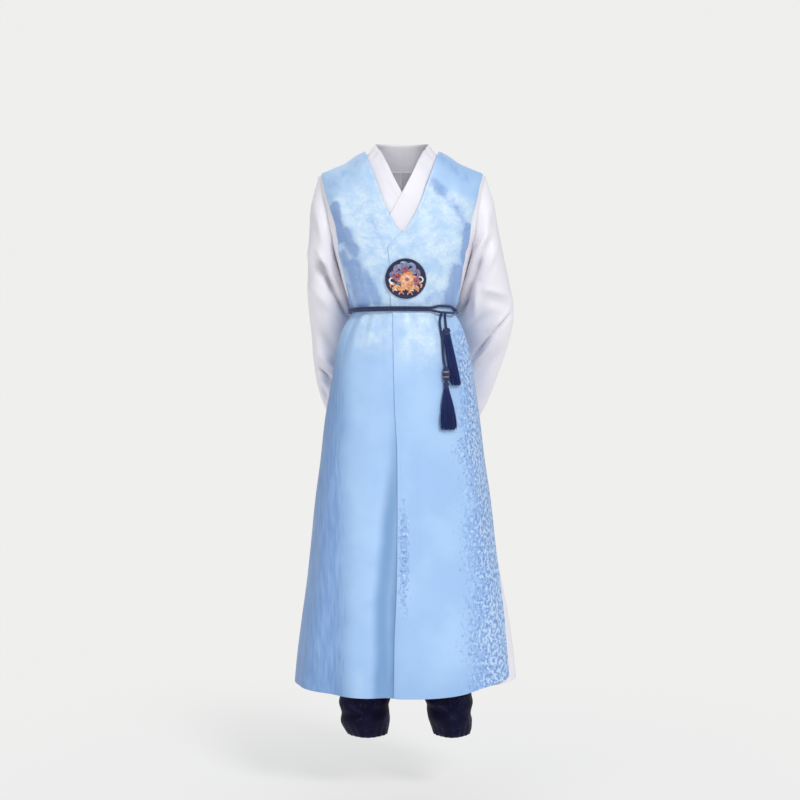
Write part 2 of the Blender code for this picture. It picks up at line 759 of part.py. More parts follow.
def pieced_tube(name, outer, inner, seam, finish):
    """A tube in an upper and a lower piece, each drawn back from the seam by half a seam gap."""
    for part, start, end in (("upper", 0, seam), ("lower", seam, len(outer) - 1)):
        sides = []
        for rings in (outer, inner):
            piece = [list(ring) for ring in rings[start:end + 1]]
            at, inward = (-1, -2) if part == "upper" else (0, 1)
            piece[at] = [
                point + (near - point).normalized() * (SEAM_GAP / 2.0)
                for point, near in zip(piece[at], piece[inward])
            ]
            sides.append(piece)
        wall(name.format(part), *sides, finish, closed=True)


def between(before, near, far, after, part):
    """Point on a smooth curve through four others."""
    return (
        near
        + (far - before) * (0.5 * part)
        + (before * 2.0 - near * 5.0 + far * 4.0 - after) * (0.5 * part**2)
        + (near * 3.0 - before - far * 3.0 + after) * (0.5 * part**3)
    )


def smooth_path(points, steps):
    """Smooth curve through the points, with the given steps between each two."""
    ends = [points[0] * 2.0 - points[1], *points, points[-1] * 2.0 - points[-2]]
    path = []
    for i in range(len(points) - 1):
        path += [between(*ends[i:i + 4], step / steps) for step in range(steps)]
    return [*path, points[-1]]


def collar_half(side):
    """Lines along half of the band, lower edge first, from the centre back to its front end."""
    sign = 1.0 if side == "left" else -1.0
    on_robe = ROBE_CLOTH + LAYER_GAP
    lines = [[] for _ in range(COLLAR_ACROSS + 1)]

    def round_neck_point(angle, reach):
        across = (NECKLINE["rows"][0][1] + reach) * math.sin(math.radians(angle))
        level = SHOULDER_SEAM - (BACK_NECK_DROP + reach) * math.cos(math.radians(angle))
        turn = 180.0 * sign - turn_at(across * sign, level)
        return form(turn, level) + form_normal(turn, level) * (on_robe + NAPE_EASE)

    def stand_up(low, bend, top):
        """The band lies on the robe up to its bend and stands up from there."""
        lines[0].append(low)
        for i in range(1, COLLAR_ACROSS + 1):
            lines[i].append(bend.lerp(Vector(top), (i - 1) / (COLLAR_ACROSS - 1)))

    for angle, top_x, top_y, top_z in COLLAR_NECK["rows"]:
        low = round_neck_point(angle, COLLAR_UNDER_COAT)
        stand_up(low, round_neck_point(angle, COLLAR_BEND), (top_x * sign, top_y, top_z))
    for low_x, low_z, bend_x, bend_z, top_x, top_y, top_z in COLLAR_SHOULDER["rows"]:
        low = on_front(low_x * sign, low_z, on_robe + NAPE_EASE)
        bend = on_front(bend_x * sign, bend_z, on_robe + NAPE_EASE)
        stand_up(low, bend, (top_x * sign, top_y, top_z))
    for number, (low_x, low_z, top_x, top_z) in enumerate(COLLAR_FRONT["rows"]):
        out = on_robe
        if side == "left":
            out += (COLLAR_CLOTH + LAYER_GAP) * smooth((number - 1) / 2.0)
        for i, line in enumerate(lines):
            part = i / COLLAR_ACROSS
            x, z = low_x + (top_x - low_x) * part, low_z + (top_z - low_z) * part
            line.append(on_front(x * sign, z, out))
    return [smooth_path(line, NECK_STEPS) for line in lines]


def collar():
    left, right = collar_half("left"), collar_half("right")
    inner = [[*reversed(near), *far[1:]] for near, far in zip(left, right)]
    inner.reverse()
    rows, columns = len(inner), len(inner[0])
    outer = []
    for i in range(rows):
        row = []
        for j in range(columns):
            along = inner[i][min(j + 1, columns - 1)] - inner[i][max(j - 1, 0)]
            down = inner[min(i + 1, rows - 1)][j] - inner[max(i - 1, 0)][j]
            row.append(inner[i][j] + down.cross(along).normalized() * COLLAR_CLOTH)
        outer.append(row)
    return wall("robe_collar", outer, inner, "robe")


def badge():
    """Round badge on the left front, with a raised rim, a closed disc that follows the chest."""
    sides = BADGE_SIDES
    profile = (
        (0.5, BADGE_CLOTH), (1.0 - BADGE_RIM / BADGE_RADIUS, BADGE_CLOTH),
        (1.0 - 0.8 * BADGE_RIM / BADGE_RADIUS, BADGE_CLOTH + BADGE_RIM_HEIGHT),
        (1.0 - 0.25 * BADGE_RIM / BADGE_RADIUS, BADGE_CLOTH + BADGE_RIM_HEIGHT),
        (1.0, BADGE_CLOTH), (1.0, 0.0), (0.5, 0.0),
    )
    points = []
    for reach, height in profile:
        for j in range(sides):
            angle = 2.0 * math.pi * j / sides
            x = BADGE_X + BADGE_RADIUS * reach * math.cos(angle)
            z = BADGE_Z + BADGE_RADIUS * reach * math.sin(angle)
            points.append(over_coat(x, z, height))
    faces = []
    for i in range(len(profile) - 1):
        for j in range(sides):
            k = (j + 1) % sides
            faces.append((i * sides + j, (i + 1) * sides + j, (i + 1) * sides + k, i * sides + k))
    front_middle, back_middle = len(points), len(points) + 1
    points += [over_coat(BADGE_X, BADGE_Z, BADGE_CLOTH), over_coat(BADGE_X, BADGE_Z, 0.0)]
    rear = (len(profile) - 1) * sides
    for j in range(sides):
        k = (j + 1) % sides
        faces.append((front_middle, j, k))
        faces.append((back_middle, rear + k, rear + j))
    return add_mesh("badge", points, faces, "badge")


def eye(turn):
    """How open the belt's eye is at a turn, 0 to 1."""
    away = abs(turn - EYE_TURN) / EYE_HALF_TURN
    return smooth((1.0 - away) / (1.0 - EYE_FLAT))


def belt_cord(which):
    """One of the belt's two cords, a closed ring round the waist; they part at the eye."""
    sign = 1.0 if which == "upper" else -1.0
    turns = [360.0 * i / BELT_STEPS for i in range(BELT_STEPS)]
    turns = [turn for turn in turns if abs(turn - EYE_TURN) > EYE_HALF_TURN]
    turns = sorted(turns + [EYE_TURN + EYE_HALF_TURN * (i / 5.0 - 1.0) for i in range(11)])
    path, outs, ups = [], [], []
    for turn in turns:
        open_part = eye(turn)
        height = BELT + sign * (CORD_RADIUS + SEAM_GAP / 2.0 + EYE_OPENING * open_part)
        out = coat_face(turn, BELT) + LAYER_GAP + CORD_RADIUS
        if which == "lower":
            out += (2.0 * CORD_RADIUS + LAYER_GAP) * open_part
        normal = form_normal(turn, BELT, False)
        normal.z = 0.0
        normal.normalize()
        point = form(turn, BELT, False) + normal * out
        point.z = height
        path.append(point)
    sides = CORD_SIDES
    points, faces = [], []
    count = len(path)
    for i in range(count):
        along = (path[(i + 1) % count] - path[i - 1]).normalized()
        out = along.cross(Vector((0.0, 0.0, 1.0))).normalized()
        up = out.cross(along)
        for j in range(sides):
            angle = 2.0 * math.pi * (j + 0.5) / sides
            points.append(path[i] + (out * math.cos(angle) + up * math.sin(angle)) * CORD_RADIUS)
    for i in range(count):
        k = (i + 1) % count
        for j in range(sides):
            m = (j + 1) % sides
            faces.append((i * sides + j, k * sides + j, k * sides + m, i * sides + m))
    return add_mesh(f"belt_cord_{which}", points, faces, "navy")


def over_coat(x, z, out):
    """Point in front of the coat's outer face."""
    return on_front(x, z, coat_face(turn_at(x, z), z) + LAYER_GAP + out)


def hanging_cord(name, route):
    """A hanging cord, on a smooth curve through its route."""
    through = [over_coat(x, z, CORD_RADIUS + SEAM_GAP) for x, z in route]
    length = sum((b - a).length for a, b in zip(through, through[1:]))
    steps = max(1, round(length / (len(through) - 1) / (CORD_POINT_SPACING * 2.0 * CORD_RADIUS)))
    path = smooth_path(through, steps)
    curve = bpy.data.curves.new(name, "CURVE")
    curve.dimensions = "3D"
    curve.bevel_depth = CORD_RADIUS
    curve.bevel_resolution = 2
    curve.use_fill_caps = True
    spline = curve.splines.new("POLY")
    spline.points.add(len(path) - 1)
    for point, place in zip(spline.points, path):
        point.co = (*place, 1.0)
    curve.materials.append(material("navy"))
    piece = bpy.data.objects.new(name, curve)
    bpy.context.scene.collection.objects.link(piece)
    return piece


def tassel(name):
    """Tassel: a bound head whose foot carries separate strands, as one closed body."""
    top_x, top_z, end_x, end_z, head, radius, half_width, half_depth = TASSELS["rows"][name]
    length = top_z - end_z
    sides = STRAND_SLOTS

    def place(down, across, deep):
        """down the tassel, across it and away from the coat"""
        part = down / length
        body = radius + (half_depth - radius) * max(0.0, part - head / length)
        return over_coat(top_x + (end_x - top_x) * part + across, top_z - down, body + deep + 2.0 * SEAM_GAP)

    points, faces = [], []

    def ring(down, scale, count=sides):
        start = len(points)
        for j in range(count):
            angle = 2.0 * math.pi * j / count
            points.append(place(down, math.cos(angle) * radius * scale, math.sin(angle) * radius * scale))
        return [start + j for j in range(count)]

    def skin(upper, lower):
        count = len(upper)
        for j in range(count):
            k = (j + 1) % count
            faces.append((upper[j], upper[k], lower[k], lower[j]))

    rings = [ring(head * part, scale) for part, scale in TASSEL_HEAD]
    points.append(place(0.0, 0.0, 0.0))
    for j in range(sides):
        faces.append((len(points) - 1, rings[0][(j + 1) % sides], rings[0][j]))
    for upper, lower in zip(rings, rings[1:]):
        skin(upper, lower)

    # The foot of the head is a web of slots; each slot's face is drawn down into a strand
    foot = TASSEL_HEAD[-1][1]
    webs = [rings[-1]]
    for part in (0.68, 0.36):
        webs.append(ring(head, foot * part))
    points.append(place(head, 0.0, 0.0))
    centre = len(points) - 1
    slots = []
    for band in range(2):
        wide, narrow = webs[band], webs[band + 1]
        for j in range(sides):
            k = (j + 1) % sides
            slots.append((wide[j], wide[k], narrow[k], narrow[j]))
    for j in range(0, sides, 2):
        slots.append((webs[2][j], webs[2][(j + 1) % sides], webs[2][(j + 2) % sides], centre))
    spread_x, spread_y = half_width / radius, half_depth / radius
    for number, slot in enumerate(slots):
        middle = sum((points[i] for i in slot), Vector()) / len(slot)
        root_x = middle.x - points[centre].x
        root_y = middle.y - points[centre].y
        root = len(points)
        for i in slot:
            points.append(middle.lerp(points[i], 0.72))
        roots = [root + j for j in range(len(slot))]
        for j in range(len(slot)):
            k = (j + 1) % len(slot)
            faces.append((slot[j], slot[k], roots[k], roots[j]))
        uneven = 1.0 - 0.035 * ((number * 7) % 5) / 4.0
        last = roots
        for part in (0.45, 1.0):
            down = head + (length - head) * part * uneven
            swell = math.sin(math.pi / 2.0 * part)
            across = root_x * (1.0 + (spread_x - 1.0) * swell)
            deep = -root_y * (1.0 + (spread_y - 1.0) * swell)
            tip = len(points)
            for i in slot:
                local = (points[i] - middle) * 0.62
                points.append(place(down, across + local.x, deep - local.y))
            tips = [tip + j for j in range(len(slot))]
            for j in range(len(slot)):
                k = (j + 1) % len(slot)
                faces.append((last[j], last[k], tips[k], tips[j]))
            last = tips
        faces.append(tuple(last))
    return add_mesh(name, points, faces, "navy")


def knot():
    """Button knot between the long cord and its tassel: a ribbed barrel."""
    sides = KNOT_SIDES
    points, faces = [], []
    for part, scale in KNOT_BARREL:
        z = KNOT_TOP + (KNOT_END - KNOT_TOP) * part
        x = KNOT_X[0] + (KNOT_X[1] - KNOT_X[0]) * part
        for j in range(sides):
            angle = 2.0 * math.pi * j / sides
            across, deep = math.cos(angle) * scale * KNOT_RADIUS, math.sin(angle) * scale * KNOT_RADIUS
            points.append(over_coat(x + across, z, KNOT_RADIUS + deep + 2.0 * SEAM_GAP))
    for i in range(len(KNOT_BARREL) - 1):
        for j in range(sides):
            k = (j + 1) % sides
            faces.append((i * sides + j, i * sides + k, (i + 1) * sides + k, (i + 1) * sides + j))
    faces.append(tuple(reversed(range(sides))))
    faces.append(tuple((len(KNOT_BARREL) - 1) * sides + j for j in range(sides)))
    return add_mesh("tassel_knot", points, faces, "navy")


def hip_point(turn, level, deeper):
    """Outer face of the trousers above the crotch."""
    part = smooth((BELT - level) / (BELT - CROTCH))
    inset = WAIST_GAP + HIP_INSET * part + deeper
    point = form(turn, level, False) - form_normal(turn, level, False) * inset
    point.z = level
    return point


def hip_ring(name, levels):
    outer, inner = [], []
    for level in levels:
        turns = [360.0 * j / HIP_COLUMNS for j in range(HIP_COLUMNS)]
        outer.append([hip_point(turn, level, 0.0) for turn in turns])
        inner.append([hip_point(turn, level, TROUSER_CLOTH) for turn in turns])
    return wall(name, outer, inner, "trousers", closed=True)


def leg(side):
    """A trouser leg: half of the hips at the crotch, round below it, pieced at the knee, gathered at the ankle."""
    sign = 1.0 if side == "left" else -1.0
    front, rear = hip_point(0.0, CROTCH, 0.0).y, hip_point(180.0, CROTCH, 0.0).y
    rings = []
    for level, right_x, left_x, back, right_half, left_half, half_depth, roundness in LEG["rows"]:
        middle_x, half_width = (left_x, left_half) if side == "left" else (right_x, right_half)
        gathered = smooth((GATHER_START - level) / (GATHER_START - ANKLE))
        ring = []
        for j in range(LEG_COLUMNS):
            turn = 360.0 * j / LEG_COLUMNS
            across, along = math.sin(math.radians(turn)), math.cos(math.radians(turn))
            wave = gathered * GATHER_HEIGHT * math.cos(math.radians(GATHERS * turn))
            round_point = Vector((
                middle_x + (half_width + wave) * across, back - (half_depth + wave) * along, level,
            ))
            half_point = hip_point(turn, CROTCH, 0.0)
            if across * sign <= 0.01:
                half_point = Vector((0.0, (front + rear) / 2.0 - along * (rear - front) / 2.0, 0.0))
            half_point.x = sign * max(abs(half_point.x), SEAM_GAP)
            half_point.z = level
            ring.append(half_point.lerp(round_point, roundness))
        rings.append(ring)
    inner = [
        [point - normal * TROUSER_CLOTH for point, normal in zip(ring, row)]
        for ring, row in zip(rings, ring_normals(rings))
    ]
    for row, ring in zip(inner, rings):
        for point, twin in zip(row, ring):
            point.z = twin.z
    pieced_tube(f"trouser_leg_{{}}_{side}", rings, inner, KNEE_RING, "trousers")


def build():
    for old in list(bpy.data.objects):
        bpy.data.objects.remove(old, do_unlink=True)
    for side in ("right", "left"):
        coat_front(side)
        coat_back(side)
        robe_front(side)
        robe_back(side)
        sleeve(side)
        leg(side)
    collar()
    badge()
    belt_cord("upper")
    belt_cord("lower")
    hanging_cord("tassel_cord_short", SHORT_CORD)
    hanging_cord("tassel_cord_long", LONG_CORD)
    tassel("tassel_short")
    tassel("tassel_long")
    knot()
    hip_ring("trouser_waistband", WAISTBAND_LEVELS)
    hip_ring("trouser_hips", HIP_LEVELS)


build()
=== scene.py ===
"""A man's Korean hanbok as worn: brocade coat, white satin robe, cord belt with tassels, trousers."""
import math

import bmesh
import bpy
import numpy as np
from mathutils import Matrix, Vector


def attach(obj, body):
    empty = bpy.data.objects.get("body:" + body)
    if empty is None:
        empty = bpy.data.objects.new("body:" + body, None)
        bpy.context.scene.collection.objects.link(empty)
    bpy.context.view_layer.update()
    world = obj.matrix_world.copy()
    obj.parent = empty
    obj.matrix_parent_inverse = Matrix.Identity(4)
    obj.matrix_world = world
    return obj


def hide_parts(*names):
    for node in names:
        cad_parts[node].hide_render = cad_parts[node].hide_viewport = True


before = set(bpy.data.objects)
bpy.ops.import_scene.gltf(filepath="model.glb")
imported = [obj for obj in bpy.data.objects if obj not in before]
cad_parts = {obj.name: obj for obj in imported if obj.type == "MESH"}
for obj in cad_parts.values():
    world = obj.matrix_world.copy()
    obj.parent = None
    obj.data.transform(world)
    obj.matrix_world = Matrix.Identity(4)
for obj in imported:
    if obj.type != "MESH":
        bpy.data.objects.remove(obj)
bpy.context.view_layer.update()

MM = 0.001
TINY = 1e-6
ROOT = "root"
SIGN = {"left": 1.0, "right": -1.0}
rng = np.random.default_rng(41)

# ---------------------------------------------------------------- sizes shared with the solids
SEAM_GAP = 0.3 * MM
LAYER_GAP = 1.15 * MM
ROBE_CLOTH = 1.2 * MM
COAT_CLOTH = 1.5 * MM
COLLAR_CLOTH = 1.5 * MM
TROUSER_CLOTH = 1.5 * MM
SHOULDER_SEAM = 0.029
CHEST = -0.250
BELT = -0.345
COAT_HEM = -1.190
ROBE_HEM = -1.172
ARMPIT = -0.212
ARMHOLE_MIDDLE, ARMHOLE_HALF = (SHOULDER_SEAM + ARMPIT) / 2.0, (SHOULDER_SEAM - ARMPIT) / 2.0
CROTCH = -0.500
ANKLE = -1.296
SHOULDER_SLOPE = 0.41
CROWN_ROUNDING = 0.030
SKIRT_EASE = 5.0 * MM
COAT_OVERLAP = 0.030
HEM_RISE = {"coat": (0.015, 0.050), "robe": (0.008, 0.006)}
HEM_RISE_START = -0.900
V_POINT = -0.179
BACK_NECK_DROP = 0.046
ROBE_NECK_INSET = 0.010
ARMHOLE_FOOT = -0.338
ARMHOLE_TURN = 17.0
LEG_TOP = -0.5003
WELT_WIDTH = 8.4 * MM
WELT_RISE = 0.45 * MM
STITCH_LINE = 7.4 * MM
STITCH_COLUMN = 6
# Distances of the mesh lines from a hemmed edge
EDGE = np.array([0.0, 0.7, 1.8, 3.2, 4.6, 6.0, 7.4, 8.6, 9.6, 10.6, 12.0, 13.6]) * MM
CUFF_WIDTH = 0.030
CUFF_STITCHES = 0.027
COLLAR_STRIP = 13.0 * MM
BRAID_TURN = 11.0 * MM
STRANDS_EACH = 230


def chart(columns, *rows):
    """A table of rows with named columns, highest level first where it has levels."""
    return {"columns": columns.split(), "rows": np.array(rows, float)}


FORM = chart(
    "level right left front back square",
    (0.029, 0.187, 0.187, 0.000, 0.000, 0.30), (0.0275, 0.187, 0.187, 0.022, 0.020, 0.32),
    (0.022, 0.187, 0.187, 0.041, 0.038, 0.35), (0.010, 0.186, 0.186, 0.058, 0.054, 0.38),
    (-0.012, 0.184, 0.184, 0.075, 0.069, 0.42), (-0.045, 0.181, 0.182, 0.089, 0.082, 0.46),
    (-0.090, 0.176, 0.177, 0.100, 0.092, 0.48), (-0.148, 0.164, 0.168, 0.108, 0.099, 0.46),
    (-0.205, 0.151, 0.155, 0.111, 0.100, 0.40), (-0.254, 0.139, 0.143, 0.108, 0.096, 0.32),
    (-0.295, 0.127, 0.132, 0.102, 0.091, 0.25), (-0.325, 0.1165, 0.1235, 0.098, 0.088, 0.20),
    (-0.338, 0.1090, 0.1160, 0.093, 0.083, 0.18), (-0.353, 0.1090, 0.1160, 0.093, 0.083, 0.18),
    (-0.370, 0.1200, 0.1260, 0.100, 0.091, 0.16), (-0.390, 0.1305, 0.1345, 0.104, 0.097, 0.14),
    (-0.432, 0.143, 0.147, 0.108, 0.106, 0.12), (-0.500, 0.153, 0.158, 0.112, 0.116, 0.10),
    (-0.590, 0.168, 0.170, 0.115, 0.123, 0.08), (-0.680, 0.177, 0.180, 0.118, 0.129, 0.08),
    (-0.770, 0.188, 0.193, 0.121, 0.134, 0.08), (-0.860, 0.196, 0.206, 0.124, 0.139, 0.08),
    (-0.950, 0.205, 0.223, 0.127, 0.144, 0.08), (-1.040, 0.217, 0.240, 0.130, 0.149, 0.08),
    (-1.130, 0.228, 0.252, 0.133, 0.154, 0.08), (-1.197, 0.234, 0.258, 0.135, 0.157, 0.08),
)
FOLDS = chart(
    "turn half_width height start",
    (-9.0, 11.0, -0.013, -0.36), (-24.0, 12.0, 0.006, -0.40), (-42.0, 12.0, -0.007, -0.50),
    (-60.0, 13.0, 0.005, -0.42), (20.0, 17.0, 0.004, -0.45), (41.0, 12.0, -0.006, -0.52),
    (56.0, 11.0, 0.005, -0.48), (112.0, 13.0, -0.008, -0.50), (130.0, 13.0, 0.008, -0.42),
    (149.0, 12.0, -0.011, -0.38), (166.0, 12.0, 0.007, -0.44), (183.0, 11.0, -0.012, -0.37),
    (199.0, 12.0, 0.008, -0.40), (217.0, 13.0, -0.010, -0.46), (236.0, 13.0, 0.006, -0.43),
    (252.0, 10.0, -0.006, -0.55),
)
NECKLINE = chart(
    "level across",
    (0.029, 0.079), (-0.018, 0.0665), (-0.051, 0.0570), (-0.110, 0.0390), (-0.144, 0.0240),
    (-0.168, 0.0110), (-0.179, 0.0000), (-0.209, -0.0305),
)
NECK = 0.079
COAT_ARMHOLE = chart(
    "level right left",
    (0.029, 0.1785, 0.1795), (-0.022, 0.1690, 0.1685), (-0.080, 0.1595, 0.1605),
    (-0.148, 0.1465, 0.1500), (-0.202, 0.1390, 0.1410), (-0.254, 0.1285, 0.1310),
    (-0.295, 0.1195, 0.1260), (-0.310, 0.1165, 0.1235), (-0.325, 0.1158, 0.1227),
)
LEFT_FRONT_EDGE = chart(
    "level across",
    (-0.209, -0.0305), (-0.242, -0.0262), (-0.320, -0.0240), (-0.366, -0.0195), (-0.470, -0.0175),
    (-0.556, -0.0150), (-0.670, -0.0087), (-0.841, -0.0072), (-0.955, -0.0078), (-1.067, -0.0117),
    (-1.197, -0.0130),
)
SLIT = chart(
    "level right left",
    (-0.338, 89.9, 89.9), (-0.700, 89.9, 89.9), (-0.770, 89.0, 84.0), (-0.860, 87.5, 76.5),
    (-0.950, 86.5, 71.0), (-1.040, 86.0, 67.5), (-1.130, 85.5, 64.5), (-1.197, 85.0, 63.5),
)
SLEEVE_COLUMNS = "outer outer_level inner inner_level back half_depth"
SLEEVES = {
    "right": chart(
        SLEEVE_COLUMNS,
        (0.2060, -0.112, 0.1540, -0.226, 0.006, 0.054), (0.2095, -0.160, 0.1490, -0.243, 0.015, 0.060),
        (0.2120, -0.212, 0.1410, -0.262, 0.028, 0.063), (0.2140, -0.262, 0.1310, -0.286, 0.043, 0.063),
        (0.2155, -0.306, 0.1220, -0.312, 0.060, 0.062), (0.2130, -0.350, 0.1180, -0.340, 0.078, 0.060),
        (0.2085, -0.400, 0.1190, -0.368, 0.098, 0.055), (0.2050, -0.458, 0.1180, -0.394, 0.122, 0.050),
        (0.1930, -0.528, 0.1060, -0.412, 0.146, 0.044), (0.1640, -0.592, 0.0850, -0.424, 0.163, 0.039),
        (0.1240, -0.625, 0.0600, -0.430, 0.171, 0.035), (0.0780, -0.634, 0.0350, -0.434, 0.173, 0.032),
    ),
    "left": chart(
        SLEEVE_COLUMNS,
        (0.2080, -0.106, 0.1580, -0.226, 0.006, 0.054), (0.2180, -0.162, 0.1540, -0.243, 0.013, 0.061),
        (0.2295, -0.216, 0.1460, -0.266, 0.024, 0.065), (0.2420, -0.270, 0.1360, -0.294, 0.038, 0.066),
        (0.2540, -0.322, 0.1290, -0.322, 0.054, 0.065), (0.2550, -0.366, 0.1270, -0.350, 0.074, 0.062),
        (0.2450, -0.420, 0.1300, -0.380, 0.098, 0.057), (0.2260, -0.478, 0.1260, -0.404, 0.124, 0.051),
        (0.2020, -0.545, 0.1100, -0.420, 0.147, 0.045), (0.1680, -0.604, 0.0880, -0.430, 0.163, 0.040),
        (0.1260, -0.634, 0.0620, -0.436, 0.171, 0.036), (0.0800, -0.640, 0.0380, -0.440, 0.173, 0.032),
    ),
}
# Collar behind the neck: angle from the nape, and the top's place. On the shoulder: its outer edge
# and its bend, each across and up, and the top's place. In front: its outer edge and its top, each
# across and up
COLLAR_NECK = (
    (0.0, 0.000, 0.0600, 0.038), (22.5, 0.026, 0.0550, 0.0375), (45.0, 0.046, 0.0400, 0.036),
    (67.5, 0.0570, 0.0190, 0.033), (89.0, 0.0590, -0.0030, 0.028),
)
COLLAR_SHOULDER = (
    (0.0840, -0.011, 0.0760, -0.007, 0.0560, -0.0180, 0.021),
    (0.0795, -0.027, 0.0700, -0.021, 0.0515, -0.0330, 0.012),
)
COLLAR_FRONT = (
    (0.0730, -0.042, 0.0460, 0.004), (0.0645, -0.070, 0.0340, -0.022), (0.0530, -0.100, 0.0210, -0.052),
    (0.0395, -0.130, 0.0060, -0.082), (0.0240, -0.160, -0.0090, -0.110),
    (0.0080, -0.187, -0.0240, -0.138), (-0.0100, -0.211, -0.0390, -0.163),
)
COLLAR_UNDER_COAT = 0.008
COLLAR_BEND = -0.002
COLLAR_ROOM = 4.0 * MM
NAPE_EASE = 1.2 * MM
NAPE_LIFT = 4.4 * MM
BADGE = (0.0075, -0.279)
BADGE_RADIUS = 0.0430
BADGE_CLOTH = 2.0 * MM
CORD_RADIUS = 2.6 * MM
EYE_TURN = 52.0
EYE_HALF_TURN = 23.0
EYE_FLAT = 0.35
EYE_OPENING = 4.5 * MM
ON_CLOTH, THROUGH_KNOT, THROUGH_TASSEL = 2.9 * MM, 8.2 * MM, 6.2 * MM
# Each hanging cord's way down: across, up and out from the coat
SHORT_CORD = (
    (0.0900, -0.3525, ON_CLOTH), (0.0905, -0.365, ON_CLOTH), (0.0912, -0.377, ON_CLOTH),
    (0.0921, -0.389, 4.5 * MM), (0.0936, -0.399, THROUGH_TASSEL), (0.0952, -0.409, THROUGH_TASSEL),
    (0.0968, -0.419, THROUGH_TASSEL),
)
LONG_CORD = (
    (0.0825, -0.3525, ON_CLOTH), (0.0820, -0.372, ON_CLOTH), (0.0822, -0.392, ON_CLOTH),
    (0.0832, -0.412, ON_CLOTH), (0.0848, -0.432, ON_CLOTH), (0.0868, -0.452, ON_CLOTH),
    (0.0886, -0.468, 4.5 * MM), (0.0895, -0.482, THROUGH_KNOT), (0.0903, -0.497, THROUGH_KNOT),
    (0.0914, -0.512, THROUGH_TASSEL), (0.0920, -0.524, THROUGH_TASSEL),
)
# Across and up at the top and at the tip, length and radius of the head, half width and half depth
# of the skirt
TASSELS = {
    "tassel_short": (0.0920, -0.3888, 0.1120, -0.516, 0.015, 0.0056, 0.0100, 0.0062),
    "tassel_long": (0.0910, -0.5060, 0.0965, -0.613, 0.014, 0.0058, 0.0180, 0.0075),
}
KNOT_TOP, KNOT_END = -0.4738, -0.5057
KNOT_X = (0.0890, 0.0908)
KNOT_RADIUS = 7.6 * MM
# Place down the knot or the tassel's head, and how wide it is there
KNOT_SHAPE = (
    (0.0, 0.10, 0.22, 0.33, 0.44, 0.56, 0.67, 0.78, 0.90, 1.0),
    (0.42, 0.72, 0.96, 0.80, 1.0, 1.0, 0.80, 0.96, 0.72, 0.42),
)
TASSEL_HEAD = ((0.0, 0.10, 0.32, 0.58, 0.70, 0.84, 1.0, 1.1), (0.40, 0.80, 1.0, 0.94, 0.74, 0.82, 0.98, 0.5))
LEG = chart(
    "level right_x left_x back right_half left_half half_depth round",
    (-0.5003, 0.0, 0.0, 0.002, 0.0, 0.0, 0.0, 0.0),
    (-0.540, -0.0720, 0.0740, 0.002, 0.068, 0.068, 0.094, 0.7),
    (-0.620, -0.0745, 0.0780, 0.002, 0.068, 0.068, 0.087, 1.0),
    (-0.830, -0.0785, 0.0880, 0.005, 0.064, 0.064, 0.077, 1.0),
    (-1.030, -0.0820, 0.0970, 0.008, 0.060, 0.059, 0.069, 1.0),
    (-1.235, -0.0835, 0.1055, 0.008, 0.055, 0.051, 0.060, 1.0),
    (-1.268, -0.0825, 0.1095, 0.008, 0.053, 0.046, 0.058, 1.0),
    (-1.285, -0.0800, 0.1120, 0.008, 0.047, 0.042, 0.052, 1.0),
    (ANKLE, -0.0775, 0.1120, 0.008, 0.042, 0.038, 0.046, 1.0),
)
HIP_INSET = 0.012
WAIST_GAP = 1.2 * MM
GATHERS = 4
GATHER_HEIGHT = 2.0 * MM
GATHER_START = -1.235
# Soft rolls at the ankle: level, width, height, tilt and phase
ANKLE_ROLLS = (
    (-1.262, 0.010, 0.0042, 0.006, 20.0), (-1.240, 0.008, -0.0034, 0.010, 80.0),
    (-1.218, 0.010, 0.0036, 0.012, 150.0), (-1.192, 0.010, -0.0030, 0.014, 240.0),
    (-1.165, 0.012, 0.0026, 0.014, 300.0),
)
# Long folds down the leg: turn, half width in turn, height
LEG_FOLDS = (
    (25.0, 14.0, 0.0035), (70.0, 12.0, -0.004), (140.0, 16.0, 0.004), (205.0, 14.0, -0.004),
    (300.0, 14.0, 0.0035),
)
# How much closer to the coat the soft sleeves lie than their stiff solids
SLEEVE_CLOSER = 6.0 * MM

